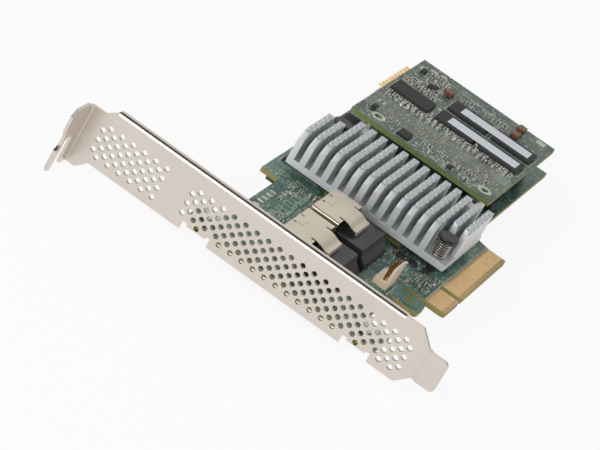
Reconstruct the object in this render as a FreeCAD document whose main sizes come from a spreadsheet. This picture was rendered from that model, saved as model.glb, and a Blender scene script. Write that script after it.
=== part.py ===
import FreeCAD, Part
import os
import re
import Sketcher

# RAID controller card: a low-profile circuit board on a full-height vented bracket.
# Frame: X runs along the board away from the bracket, Y up the bracket towards its tab,
# Z out of the component side.  X = 0 is the bracket's outer face, Y = 0 the plain band
# between its two fields of holes, Z = 0 the component side of the main board.

doc = FreeCAD.newDocument("RaidController")

# ---------------------------------------------------------------- driving dimensions
SIZES = [
    # bracket sheet
    ("sheet", 0.9), ("sheet_bend", 1.1), ("plate_edge_high", 14.55), ("plate_edge_low", -3.87),
    ("tab_underside", 31.77), ("tab_depth", 11.43), ("head_high", 11.73), ("head_low", -7.07),
    ("head_taper_high", 25.4), ("head_taper_low", 25.6), ("flange_start", 24.3), ("flange_past_arm", 2.7),
    ("flange_depth", 2.1), ("plate_past_arm", 12.5), ("plate_taper", 4.1),
    ("tongue_long", 6.95), ("tongue_low", 0.23), ("tongue_width", 10.19), ("tongue_corner", 1.7),
    ("tongue_set", 0.9), ("tab_slot_width", 4.42), ("tab_slot_centre", -6.4), ("tab_slot_top", 3.1),
    ("tab_slot_corner", 1.2), ("ear_from_high", 4.7), ("ear_from_arm", 5.0), ("ear_width", 6.0),
    ("ear_depth", 10.6), ("ear_notch", 1.6), ("ear_notch_rise", 2.6),
    # ventilation holes
    ("vent_hole", 1.6), ("vent_pitch", 3.81), ("vent_row", 3.2226), ("vent_high", 7.087),
    ("vent_first_a", 26.2), ("vent_pairs_a", 6), ("vent_first_b", -4.28), ("vent_pairs_b", 19),
    # main board
    ("board_thick", 1.57), ("board_gap", 0.3), ("board_long", 166.45), ("board_wide", 56.1),
    ("board_high", -5.4), ("arm_far", 13.0), ("arm_drop", 7.3), ("upper_notch_far", 52.9),
    ("upper_notch", 6.2), ("lower_notch_rise", 1.2), ("foot_near", 33.3), ("foot_far", 41.4),
    ("slot_rise", 0.7), ("foot_hole_x", 37.7), ("foot_hole_in", 4.6), ("foot_hole", 3.0),
    ("edge_near", 43.24), ("edge_drop", 12.75), ("key_near", 54.89), ("key_width", 1.9),
    ("key_drop", 4.2), ("edge_length", 52.2), ("pad_pitch", 1.0), ("pad_width", 0.7),
    ("pad_set", 1.35), ("pad_length", 4.7), ("pad_thick", 0.06), ("pad_inset", 0.83),
    ("pads_short", 11), ("pads_long", 38),
    # bracket screws
    ("screw_x", 6.5), ("screw_shank", 2.9), ("screw_fit", 0.1), ("screw_head", 5.6), ("screw_head_high", 1.9),
    ("screw_tail", 0.5), ("screw_recess", 2.6), ("screw_recess_wide", 0.6), ("screw_recess_deep", 0.9),
    # heat sink
    ("sink_clear", 5.8), ("sink_in", 3.9), ("sink_wide", 31.2), ("sink_plate", 2.0), ("fin_pitch", 3.83),
    ("fin_thick", 2.1), ("fin_count", 15), ("fin_rise", 11.1), ("fin_lean", 1.8), ("fin_lobes", 8),
    ("lobe_round", 0.8), ("relief_far", 10.1), ("relief_near", 8.3), ("web_wide", 5.4), ("web_below", 1.1),
    # push pins and springs
    ("pin_a_in", 3.3), ("pin_a_up", 3.9), ("pin_b_in", 5.2), ("pin_b_down", 4.0), ("pin_shaft", 2.8),
    ("pin_clear", 0.2), ("pin_head", 6.3), ("pin_head_thick", 1.3), ("pin_head_edge", 0.25), ("pin_rise", 9.0),
    ("pin_barb", 3.7), ("pin_barb_high", 2.4), ("pin_fin_clear", 0.3), ("spring_wire", 0.42),
    ("spring_outer", 4.3), ("spring_turns", 7),
    # controller
    ("chip_side", 27.0), ("chip_gap", 2.41), ("chip_stand", 0.35), ("chip_thick", 1.25),
    ("lid_side", 20.0), ("lid_thick", 1.2), ("paste_thick", 0.2),
    # flash memory under the sink's upper end
    ("flash_from_sink", 5.5), ("flash_down", 15.7), ("flash_long", 16.4), ("flash_wide", 14.0),
    ("flash_stand", 0.1), ("flash_top", 1.1), ("flash_lead", 0.22), ("flash_lead_pitch", 0.5),
    ("flash_leads", 26), ("flash_lead_reach", 0.9), ("flash_lead_high", 0.45),
    # internal cable receptacles
    ("cage_a_near", 13.4), ("cage_gap", 2.4), ("cage_wide", 18.3), ("cage_high", 8.5), ("cage_sheet", 0.3),
    ("cage_in", 22.2), ("cage_long", 9.2), ("cage_slot_long", 0.8), ("cage_slot_in", 3.7),
    ("cage_slot_wide", 0.8), ("cage_tongue_long", 4.8), ("cage_tongue_drop", 1.25), ("cage_lip", 1.0),
    ("cage_hole", 0.9), ("cage_holes_apart", 5.6), ("cage_hole_in", 0.9),
    ("boss_long", 5.0), ("boss_wide", 1.5), ("boss_in", 2.6), ("boss_high", 0.15),
    ("housing_side", 0.2), ("housing_front_in", 4.7), ("housing_past_cage", 9.7), ("housing_below", 2.8),
    ("housing_ramp", 2.5), ("housing_step_high", 2.2), ("nose_in", 2.6), ("nose_low", 1.4), ("nose_below", 1.9),
    ("nose_slot_low", 3.2), ("nose_slot_tall", 1.6), ("nose_slot_in", 1.2),
    # friction-lock header
    ("header_x", 33.4), ("header_pitch", 2.54), ("header_ways", 3), ("header_in", 3.8), ("header_wide", 4.6),
    ("header_base", 2.3), ("header_wall", 0.9), ("header_high", 7.8), ("header_pin", 0.64),
    ("header_pin_in", 2.1), ("header_pin_top", 7.6), ("header_pin_tail", 2.6),
    # cache memory card
    ("cache_edge", 2.05), ("cache_long", 62.3), ("cache_margin_low", 1.6), ("cache_margin_high", 3.7),
    ("cache_stand", 7.6), ("cache_thick", 1.6), ("stand_in", 4.9), ("stand_down", 7.5), ("stand_up", 4.1),
    ("stand_wide", 5.0), ("stand_bore", 2.6), ("stand_screw", 2.5), ("stand_screw_long", 3.0),
    ("stand_head", 4.6), ("stand_head_high", 1.3),
    # board-to-board connector
    ("link_in", 15.1), ("link_wide", 6.4), ("link_up", 2.3), ("link_long", 40.0), ("link_plug_deep", 3.2),
    ("link_wall", 1.2), ("link_tongue_wide", 2.6), ("link_floor", 1.5), ("link_clear", 0.3),
    # right-angle header under the cache card
    ("side_pin_in", 24.7), ("side_pins", 10), ("side_pin_pitch", 2.54), ("side_pin_low", 1.5),
    ("side_pin_high", 4.04), ("side_pin_past", 0.2), ("side_body_high", 5.1), ("side_body_in", 6.0),
    ("side_body_deep", 2.4), ("side_pin", 0.64),
    # memory packages on the cache card
    ("ram_in", 35.0), ("ram_gap", 3.7), ("ram_wide", 8.2), ("ram_long", 14.0), ("ram_thick", 1.1),
    ("ram_margin", 1.6), ("ram_pitch", 16.75),
    ("strip_wide", 4.9), ("strip_in", 1.7), ("strip_up", 1.4), ("strip_long", 25.4), ("strip_thick", 0.15),
    # small components: length along X, width along Y, height
    ("regulator_in", 1.8), ("regulator_down", 19.3), ("regulator_long", 4.9), ("regulator_wide", 3.9),
    ("regulator_thick", 0.9), ("tantalum_long", 3.6), ("tantalum_wide", 2.7), ("tantalum_thick", 1.5),
    ("tantalum_a_in", 14.4), ("tantalum_a_down", 16.1), ("tantalum_b_in", 5.6), ("tantalum_b_up", 10.5),
    ("tantalum_c_in", 12.2), ("tantalum_c_up", 10.3), ("coil_long", 6.0), ("coil_wide", 5.6),
    ("coil_high", 3.8), ("coil_off", 3.2), ("rear_flash_in", 14.7), ("rear_flash_up", 1.1),
    ("rear_flash_long", 13.0), ("rear_flash_wide", 8.2), ("rear_flash_thick", 1.8),
    ("under_part_off", 0.5), ("under_part_down", 5.2), ("under_part_long", 2.3), ("under_part_wide", 2.8),
    ("under_part_high", 1.2), ("link_chip_near", 30.2), ("link_chip_pitch", 3.0), ("link_chips", 5),
    ("link_chip_down", 9.8), ("link_chip_long", 0.9), ("link_chip_wide", 1.9), ("link_chip_high", 0.5),
]

# Places that follow from the sizes: what sits on an edge, a card or a base moves with it.
PLACES = {
    "board_near": "sheet + board_gap", "board_far": "board_near + board_long",
    "board_low": "board_high - board_wide", "arm_low": "board_low - arm_drop",
    "lower_notch_low": "board_low + lower_notch_rise", "slot_high": "board_low + slot_rise",
    "edge_low": "board_low - edge_drop", "key_high": "board_low - key_drop", "pad_low": "edge_low + pad_set",
    "foot_hole_y": "arm_low + foot_hole_in", "ear_upper": "board_high - ear_from_high",
    "ear_lower": "arm_low + ear_from_arm", "flange_end": "arm_low - flange_past_arm",
    "plate_end": "arm_low - plate_past_arm", "tongue_end": "plate_end - tongue_long",
    "cage_pitch": "cage_wide + cage_gap", "cage_mouth": "board_high - cage_in",
    "cage_side_end": "cage_mouth - cage_long", "cage_slot_from": "cage_side_end + cage_slot_long",
    "cage_tongue_end": "cage_side_end - cage_tongue_long", "housing_front": "cage_mouth - housing_front_in",
    "housing_back": "cage_side_end - housing_past_cage", "housing_step": "housing_back - housing_ramp",
    "housing_high": "cage_high - housing_below", "nose_high": "cage_high - nose_below",
    "lid_top": "chip_stand + chip_thick + lid_thick", "sink_base": "lid_top + paste_thick",
    "sink_near": "cage_a_near + cage_pitch + cage_wide + sink_clear", "sink_far": "sink_near + sink_wide",
    "sink_high": "board_high - sink_in", "sink_low": "sink_high - (fin_count - 1) * fin_pitch - fin_thick",
    "fin_short_far": "sink_far - relief_far", "fin_short_near": "sink_near + relief_near",
    "web_near": "sink_far - web_wide", "fin_top": "sink_base + fin_rise", "fin_shoulder": "fin_top - lobe_round",
    "web_top": "fin_top - web_below", "pin_top": "sink_base + pin_rise",
    "pin_a_x": "sink_near + pin_a_in", "pin_a_y": "sink_low + pin_a_up",
    "pin_b_x": "sink_far - pin_b_in", "pin_b_y": "sink_high - pin_b_down",
    "chip_x": "(sink_near + sink_far) / 2", "chip_y": "flash_y - chip_gap - chip_side / 2",
    "flash_x": "sink_near + flash_from_sink", "flash_y": "board_high - flash_down",
    "header_y": "board_low + header_in", "header_pin_y": "header_y + header_pin_in",
    "cache_far": "board_far - cache_edge", "cache_near": "cache_far - cache_long",
    "cache_low": "board_low + cache_margin_low", "cache_high": "board_high - cache_margin_high",
    "card_top": "cache_stand + cache_thick", "stand_x": "cache_near + stand_in",
    "stand_upper": "cache_high - stand_down", "stand_lower": "cache_low + stand_up",
    "link_near": "cache_far - link_in", "link_far": "link_near + link_wide",
    "link_low": "cache_low + link_up", "link_high": "link_low + link_long",
    "link_split": "cache_stand - link_plug_deep", "side_pin_first": "cache_far - side_pin_in",
    "side_pin_tip": "board_high + side_pin_past", "side_body_from": "board_high - side_body_in",
    "ram_row_a": "cache_far - ram_in", "ram_row_b": "ram_row_a + ram_wide + ram_gap",
    "ram_first": "cache_high - ram_margin - ram_long", "ram_second": "ram_first - ram_pitch",
    "ram_third": "ram_second - ram_pitch", "strip_low": "ram_third + strip_up",
}

sheet = doc.addObject("Spreadsheet::Sheet", "Sizes")
NAMES = {}
for row, (alias, value) in enumerate(SIZES, 1):
    sheet.set("A%d" % row, alias)
    sheet.set("B%d" % row, str(value))
    sheet.setAlias("B%d" % row, alias)
    NAMES[alias] = value
doc.recompute()

V = FreeCAD.Vector
PARTS = []


def named(found):
    word = found.group(0)
    if word in PLACES:
        return "(%s)" % link(PLACES[word])
    return "Sizes." + word if word in NAMES else word


def link(text):
    """An expression that reads the sheet: each place is written out, each size gets the sheet's name."""
    return re.sub(r"[a-z_]+", named, str(text))


def size(text):
    """The present value of such an expression."""
    value = sheet.evalExpression(link(text))
    return float(getattr(value, "Value", value))


def part_body(name):
    body = doc.addObject("PartDesign::Body", name)
    body.Label = name
    body.AllowCompound = True
    PARTS.append(body)
    return body


def sketch(body, name, role, level="0"):
    """A sketch on one of the body's own origin planes, lifted off it along the plane's normal."""
    made = body.newObject("Sketcher::SketchObject", name)
    plane = [o for o in body.Origin.OriginFeatures if o.Role == role][0]
    made.AttachmentSupport = [(plane, "")]
    made.MapMode = "FlatFace"
    made.setExpression("AttachmentOffset.Base.z", link(level))
    return made


def outline(made, corners):
    """A closed outline of straight lines; both coordinates of each corner are bound to the sheet."""
    first = made.GeometryCount
    count = len(corners)
    places = [V(size(x), size(y), 0) for x, y in corners]
    lines = [Part.LineSegment(places[i], places[(i + 1) % count]) for i in range(count)]
    made.addGeometry(lines, False)
    ties = [Sketcher.Constraint("Coincident", first + i, 2, first + (i + 1) % count, 1) for i in range(count)]
    for i in range(count):
        ties.append(Sketcher.Constraint("DistanceX", -1, 1, first + i, 1, places[i].x))
        ties.append(Sketcher.Constraint("DistanceY", -1, 1, first + i, 1, places[i].y))
    numbers = made.addConstraint(ties)[count:]
    for i, (x, y) in enumerate(corners):
        made.setExpression("Constraints[%d]" % numbers[2 * i], link(x))
        made.setExpression("Constraints[%d]" % numbers[2 * i + 1], link(y))


def rectangle(made, x0, x1, y0, y1):
    outline(made, [(x0, y0), (x1, y0), (x1, y1), (x0, y1)])


def circle(made, x, y, diameter):
    place = V(size(x), size(y), 0)
    ring = made.addGeometry(Part.Circle(place, V(0, 0, 1), size(diameter) / 2), False)
    ties = [Sketcher.Constraint("DistanceX", -1, 1, ring, 3, place.x),
            Sketcher.Constraint("DistanceY", -1, 1, ring, 3, place.y),
            Sketcher.Constraint("Diameter", ring, size(diameter))]
    numbers = made.addConstraint(ties)
    for number, text in zip(numbers, (x, y, diameter)):
        made.setExpression("Constraints[%d]" % number, link(text))


def punched(made, x, y, across):
    """A small punched hole drawn with six flats, the given width across them."""
    turns = ((0.5, 0.2887), (0, 0.5774), (-0.5, 0.2887), (-0.5, -0.2887), (0, -0.5774), (0.5, -0.2887))
    outline(made, [("%s + (%s) * %s" % (x, a, across), "%s + (%s) * %s" % (y, b, across)) for a, b in turns])


def pad(body, made, name, length, back=False):
    grown = body.newObject("PartDesign::Pad", name)
    grown.Profile = (made, [""])
    grown.setExpression("Length", link(length))
    grown.Reversed = back
    body.Tip = grown
    doc.recompute()
    return grown


def pocket(body, made, name, length=None, back=False):
    """A cut to a stated depth, or right through both ways; it must take something away."""
    before = body.Tip.Shape.Volume
    cut = body.newObject("PartDesign::Pocket", name)
    cut.Profile = (made, [""])
    if length is None:
        cut.Type = "ThroughAll"
        cut.SideType = "Symmetric"
    else:
        cut.setExpression("Length", link(length))
        cut.Reversed = back
    body.Tip = cut
    doc.recompute()
    if cut.Shape.Volume > before - 1e-6:
        raise RuntimeError(name + " cuts nothing")
    return cut


def pattern(body, feature, name, axis, pitch, count):
    rows = body.newObject("PartDesign::LinearPattern", name)
    rows.Originals = [feature]
    rows.Direction = ([o for o in body.Origin.OriginFeatures if o.Role == axis][0], [""])
    rows.Mode = "Spacing"
    rows.Reversed = size(pitch) < 0
    rows.setExpression("Offset", link("abs(%s)" % pitch))
    rows.setExpression("Occurrences", link(count))
    body.Tip = rows
    doc.recompute()
    return rows


def rounding(body, name, radius, wanted):
    """A fillet on the edges of the present tip that the test picks out."""
    base = body.Tip
    names = ["Edge%d" % (i + 1) for i, edge in enumerate(base.Shape.Edges) if wanted(edge)]
    if not names:
        raise RuntimeError(name + " finds no edge")
    made = body.newObject("PartDesign::Fillet", name)
    made.Base = (base, names)
    made.setExpression("Radius", link(radius))
    body.Tip = made
    doc.recompute()
    return made


def near(value, text, slack=0.02):
    return abs(value - size(text)) < slack


def upright(edge, x, y, slack=0.02):
    """True for a straight edge along Z at this place."""
    box = edge.BoundBox
    return box.XLength < slack and box.YLength < slack and near(box.XMin, x) and near(box.YMin, y)


def block(name, x0, x1, y0, y1, z0, z1, keep=False):
    """A Part box between two corners."""
    made = doc.addObject("Part::Box", name)
    for low, high, side, axis in ((x0, x1, "Length", "x"), (y0, y1, "Width", "y"), (z0, z1, "Height", "z")):
        made.setExpression(side, link("(%s) - (%s)" % (high, low)))
        made.setExpression("Placement.Base." + axis, link(low))
    if keep:
        made.Label = name
        PARTS.append(made)
    return made


def rod(name, x, y, z0, z1, diameter):
    made = doc.addObject("Part::Cylinder", name)
    made.setExpression("Radius", link("(%s) / 2" % diameter))
    made.setExpression("Height", link("(%s) - (%s)" % (z1, z0)))
    for axis, text in (("x", x), ("y", y), ("z", z0)):
        made.setExpression("Placement.Base." + axis, link(text))
    return made


def group(name, pieces, kind="Part::Compound"):
    """Several shapes kept as one sub-part: apart as a Compound, joined as a MultiFuse."""
    made = doc.addObject(kind, name)
    made.Label = name
    if kind == "Part::Compound":
        made.Links = pieces
    else:
        made.Shapes = pieces
    PARTS.append(made)
    return made


# ---------------------------------------------------------------- bracket
# One folded sheet: vented plate, slotted tab at the top, stiffening flange along one edge,
# two ears that reach under the board, and a joggled tongue at the bottom.
bracket = part_body("bracket")
ear_under = "0 - board_thick - sheet"
flange_root = "plate_edge_high - sheet_bend - 0.4"


def along(edge, x, z):
    """True for a straight edge along Y at this place."""
    box = edge.BoundBox
    return box.XLength < 0.02 and box.ZLength < 0.02 and near(box.XMin, x) and near(box.ZMin, z)


rim = sketch(bracket, "flange_section", "XZ_Plane", "0 - flange_start")
outline(rim, [("0", flange_root), ("0", "plate_edge_high"), ("flange_depth", "plate_edge_high"),
              ("flange_depth", "plate_edge_high - sheet"), ("sheet", "plate_edge_high - sheet"),
              ("sheet", flange_root)])
pad(bracket, rim, "flange", "flange_start - flange_end")
rounding(bracket, "flange_bend", "sheet_bend", lambda e: along(e, "0", "plate_edge_high"))

face = sketch(bracket, "plate_outline", "YZ_Plane")
corners = [("tab_underside + sheet", "head_low"), ("tab_underside + sheet", "head_high"),
           ("head_taper_high + 2.2", "head_high"), ("head_taper_high", "head_high + 1.7"),
           ("flange_start", "plate_edge_high"), ("flange_start", flange_root), ("flange_end", flange_root),
           ("flange_end", "plate_edge_high"), ("plate_end + plate_taper", "plate_edge_high"),
           ("plate_end", "tongue_low + tongue_width"), ("plate_end", "tongue_low"),
           ("plate_end + plate_taper", "plate_edge_low")]
for ear in ("ear_lower", "ear_upper"):
    for side, outer in (("-", True), ("+", False)):
        inner = "%s %s ear_width / 2" % (ear, side)
        wide = inner + " %s ear_notch" % side
        step = [(wide, "plate_edge_low"), (wide, "plate_edge_low + ear_notch_rise"),
                (inner, "plate_edge_low + ear_notch_rise"), (inner, ear_under)]
        corners += step if outer else step[::-1]
corners += [("head_taper_low", "plate_edge_low"), ("head_taper_low + 3.1", "head_low")]
outline(face, corners)
pad(bracket, face, "plate", "sheet")

tab = sketch(bracket, "tab_outline", "XZ_Plane", "0 - tab_underside - sheet")
slot_in = "tab_slot_centre + tab_slot_width / 2"
slot_out = "tab_slot_centre - tab_slot_width / 2"
outline(tab, [("sheet", "head_low"), ("sheet", "head_high"), ("-1.6", "head_high"),
              ("-2.6", "head_high + 1.1"), ("1.8 - tab_depth", "head_high + 1.1"),
              ("0 - tab_depth", "head_high - 1.0"), ("0 - tab_depth", "6.1"), ("1.7 - tab_depth", "3.7"),
              ("1.7 - tab_depth", "0.6"), ("0 - tab_depth", "-0.6"), ("0 - tab_depth", "head_low + 1.2"),
              ("0.7 - tab_depth", "head_low - 0.6"), (slot_out + " - 0.5", "head_low - 0.6"),
              (slot_out, "head_low + 0.4"), (slot_out, "tab_slot_top - tab_slot_corner"),
              (slot_out + " + tab_slot_corner", "tab_slot_top"),
              (slot_in + " - tab_slot_corner", "tab_slot_top"), (slot_in, "tab_slot_top - tab_slot_corner"),
              (slot_in, "head_low + 0.5"), (slot_in + " + 0.5", "head_low")])
pad(bracket, tab, "tab", "sheet")

ears = sketch(bracket, "ear_outline", "XY_Plane", ear_under)
for ear in ("ear_lower", "ear_upper"):
    rectangle(ears, "0", "ear_depth", ear + " - ear_width / 2", ear + " + ear_width / 2")
pad(bracket, ears, "ears", "sheet")

tongue = sketch(bracket, "tongue_outline", "XY_Plane", "tongue_low")
outline(tongue, [("0", "plate_end + 0.4"), ("sheet", "plate_end + 0.4"), ("sheet", "plate_end - 0.3"),
                 ("sheet - tongue_set", "plate_end - 1.7"), ("sheet - tongue_set", "tongue_end"),
                 ("0 - tongue_set", "tongue_end"), ("0 - tongue_set", "plate_end - 1.2"), ("0", "plate_end + 0.2")])
pad(bracket, tongue, "tongue", "tongue_width")

rounding(bracket, "tab_bend_outer", "sheet_bend", lambda e: upright(e, "sheet", "tab_underside + sheet"))
rounding(bracket, "tab_bend_inner", "sheet_bend - sheet + 0.1", lambda e: upright(e, "0", "tab_underside"))
rounding(bracket, "ear_bend", "sheet_bend", lambda e: along(e, "0", ear_under))
rounding(bracket, "tongue_corners", "tongue_corner",
         lambda e: near(e.BoundBox.YMin, "tongue_end") and near(e.BoundBox.YMax, "tongue_end")
         and e.BoundBox.XLength > 0.5)
rounding(bracket, "tab_slot_round", "1.5",
         lambda e: e.BoundBox.YLength > 0.5 and e.BoundBox.XLength < 0.02 and e.BoundBox.ZLength < 0.02
         and near(e.BoundBox.ZMin, "tab_slot_top") and e.BoundBox.XMin < 0)

taps = sketch(bracket, "ear_hole_circles", "XY_Plane")
circle(taps, "screw_x", "ear_upper", "screw_shank + screw_fit")
circle(taps, "screw_x", "ear_lower", "screw_shank + screw_fit")
pocket(bracket, taps, "ear_holes")

# Two fields of small holes, alternate columns shifted by half a row.
for field, first, pairs in (("upper", "vent_first_a", "vent_pairs_a"), ("lower", "vent_first_b", "vent_pairs_b")):
    holes = sketch(bracket, field + "_vent_outlines", "YZ_Plane")
    for row in range(3):
        punched(holes, first, "vent_high - %d * vent_row" % row, "vent_hole")
        punched(holes, first + " - vent_pitch / 2", "vent_high + (0.5 - %d) * vent_row" % row, "vent_hole")
    cut = pocket(bracket, holes, field + "_vent_column")
    pattern(bracket, cut, field + "_vents", "Y_Axis", "0 - vent_pitch", pairs)

# The bottom row skips the places beside the ear notches, and the lower field ends on a short column.
for run, first, column, count in (("upper", "vent_first_a", 0, "6"), ("lower", "vent_first_b", 3, "11")):
    holes = sketch(bracket, run + "_edge_vent_outline", "YZ_Plane")
    punched(holes, first + " - (%d + 0.5) * vent_pitch" % column, "vent_high - 2.5 * vent_row", "vent_hole")
    cut = pocket(bracket, holes, run + "_edge_vent")
    pattern(bracket, cut, run + "_edge_vents", "Y_Axis", "0 - vent_pitch", count)
last = sketch(bracket, "odd_vent_outlines", "YZ_Plane")
for column in (1, 15, 17, 18):
    punched(last, "vent_first_b - (%d + 0.5) * vent_pitch" % column, "vent_high - 2.5 * vent_row", "vent_hole")
for row in range(3):
    punched(last, "vent_first_b - vent_pairs_b * vent_pitch", "vent_high - %d * vent_row" % row, "vent_hole")
pocket(bracket, last, "odd_vents")

# ---------------------------------------------------------------- bracket screws
screws = part_body("bracket_screws")
under_ear = "board_thick + sheet + screw_tail"
shank = sketch(screws, "screw_shanks", "XY_Plane", "0 - (%s)" % under_ear)
heads = sketch(screws, "screw_heads", "XY_Plane")
recess = sketch(screws, "screw_recesses", "XY_Plane", "screw_head_high")
for ear in ("ear_upper", "ear_lower"):
    circle(shank, "screw_x", ear, "screw_shank")
    circle(heads, "screw_x", ear, "screw_head")
    rectangle(recess, "screw_x - screw_recess / 2", "screw_x + screw_recess / 2", 
              ear + " - screw_recess_wide / 2", ear + " + screw_recess_wide / 2")
pad(screws, shank, "shanks", under_ear)
pad(screws, heads, "heads", "screw_head_high")
pocket(screws, recess, "recesses", "screw_recess_deep")

# ---------------------------------------------------------------- main board
# Low-profile outline: two arms by the bracket, a foot, and the keyed edge connector.
board = part_body("main_board")
plan = sketch(board, "board_outline", "XY_Plane", "0 - board_thick")
edge_far = "edge_near + edge_length"
outline(plan, [("board_near", "board_high"), ("board_near", "arm_low"), ("arm_far", "arm_low"),
               ("arm_far", "lower_notch_low"), ("foot_near", "lower_notch_low"), ("foot_near", "arm_low"),
               ("foot_far", "arm_low"), ("foot_far", "slot_high"), ("edge_near", "slot_high"),
               ("edge_near", "edge_low + 1"), ("edge_near + 0.6", "edge_low"), ("key_near - 0.4", "edge_low"),
               ("key_near", "edge_low + 0.8"), ("key_near", "key_high"), ("key_near + key_width", "key_high"),
               ("key_near + key_width", "edge_low + 0.8"), ("key_near + key_width + 0.4", "edge_low"),
               (edge_far + " - 0.6", "edge_low"), (edge_far, "edge_low + 1"), (edge_far, "edge_low + 6.1"),
               (edge_far + " + 1.5", "board_low - 2.0"), (edge_far + " + 1.9", "board_low"),
               ("board_far", "board_low"), ("board_far", "board_high"), ("upper_notch_far", "board_high"),
               ("upper_notch_far", "board_high - upper_notch"), ("arm_far", "board_high - upper_notch"),
               ("arm_far", "board_high")])
pad(board, plan, "board_blank", "board_thick")
rounding(board, "foot_corner_near", "1.5", lambda e: upright(e, "foot_near", "arm_low"))
rounding(board, "foot_corner_far", "2.5", lambda e: upright(e, "foot_far", "arm_low"))
rounding(board, "notch_corner", "1.0", lambda e: upright(e, "arm_far", "lower_notch_low"))
bores = sketch(board, "board_circles", "XY_Plane")
circle(bores, "foot_hole_x", "foot_hole_y", "foot_hole")
for ear in ("ear_upper", "ear_lower"):
    circle(bores, "screw_x", ear, "screw_shank + screw_fit + 0.3")
for which in ("pin_a", "pin_b"):
    circle(bores, which + "_x", which + "_y", "pin_shaft + pin_clear")
for which in ("stand_upper", "stand_lower"):
    circle(bores, "stand_x", which, "stand_bore")
for way in range(NAMES["header_ways"]):
    circle(bores, "header_x + (%d + 0.5) * header_pitch" % way, "header_pin_y", "header_pin * 1.414 + 0.1")
pocket(board, bores, "board_holes")

# ---------------------------------------------------------------- edge connector pads
# Plated contact fingers on both faces of the edge connector.
pads = part_body("edge_contacts")
for side, level, back in (("top", "0", False), ("under", "0 - board_thick", True)):
    for run, start, count in (("short", "edge_near", "pads_short"),
                              ("long", "key_near + key_width", "pads_long")):
        one = sketch(pads, "%s_%s_finger" % (side, run), "XY_Plane", level)
        middle = start + " + pad_inset"
        rectangle(one, middle + " - pad_width / 2", middle + " + pad_width / 2", "pad_low", "pad_low + pad_length")
        grown = pad(pads, one, "%s_%s_pad" % (side, run), "pad_thick", back)
        pattern(pads, grown, "%s_%s_pads" % (side, run), "X_Axis", "pad_pitch", count)

# ---------------------------------------------------------------- controller under the heat sink
half = "chip_side / 2"
block("controller_substrate", "chip_x - " + half, "chip_x + " + half, "chip_y - " + half, "chip_y + " + half,
      "chip_stand", "chip_stand + chip_thick", True)
lid = "lid_side / 2"
block("controller_lid", "chip_x - " + lid, "chip_x + " + lid, "chip_y - " + lid, "chip_y + " + lid,
      "chip_stand + chip_thick", "lid_top", True)
block("thermal_pad", "chip_x - " + lid, "chip_x + " + lid, "chip_y - " + lid, "chip_y + " + lid,
      "lid_top", "sink_base", True)

# ---------------------------------------------------------------- heat sink
# Cast base with a comb of thin fins; each fin's top is a row of eight round lobes.
sink = part_body("heat_sink")
slab = sketch(sink, "sink_base_outline", "XY_Plane", "sink_base")
rectangle(slab, "sink_near", "sink_far", "sink_low", "sink_high")
pad(sink, slab, "sink_base_plate", "sink_plate")
fin = sketch(sink, "fin_outline", "XZ_Plane", "0 - sink_high")
top_far = "sink_far - fin_lean"
lobe = "((sink_far - fin_lean - sink_near) / fin_lobes)"
crest = [("sink_far - 0.1", "sink_base + sink_plate - 0.3"), ("sink_near", "sink_base + sink_plate - 0.3")]
for i in range(NAMES["fin_lobes"]):
    crest += [("sink_near + %d * %s" % (i, lobe), "fin_shoulder"),
              ("sink_near + %.1f * %s" % (i + 0.2, lobe), "fin_top - 0.15"),
              ("sink_near + %.1f * %s" % (i + 0.5, lobe), "fin_top"),
              ("sink_near + %.1f * %s" % (i + 0.8, lobe), "fin_top - 0.15")]
outline(fin, crest + [(top_far, "fin_shoulder")])
one_fin = pad(sink, fin, "fin", "fin_thick")
pattern(sink, one_fin, "fins", "Y_Axis", "0 - fin_pitch", "fin_count")
relief = sketch(sink, "pin_relief_outline", "XY_Plane", "sink_base + sink_plate")
rectangle(relief, "fin_short_far", "sink_far + 1", "pin_b_y - pin_head / 2 - pin_fin_clear", "sink_high + 1")
rectangle(relief, "sink_near - 1", "fin_short_near", "sink_low - 1", "pin_a_y + pin_head / 2 + pin_fin_clear")
pocket(sink, relief, "pin_relief", "20", True)
web = sketch(sink, "web_outline", "XY_Plane", "sink_base + sink_plate - 0.2")
for fins_down in (2, 12):
    high = "sink_high - %d * fin_pitch - fin_thick / 2" % fins_down
    rectangle(web, "web_near", "sink_far - fin_lean", high + " - fin_pitch", high)
pad(sink, web, "webs", "web_top - sink_base - sink_plate + 0.2")
pins = sketch(sink, "sink_circles", "XY_Plane")
for which in ("pin_a", "pin_b"):
    circle(pins, which + "_x", which + "_y", "pin_shaft + pin_clear")
pocket(sink, pins, "sink_holes")

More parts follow.
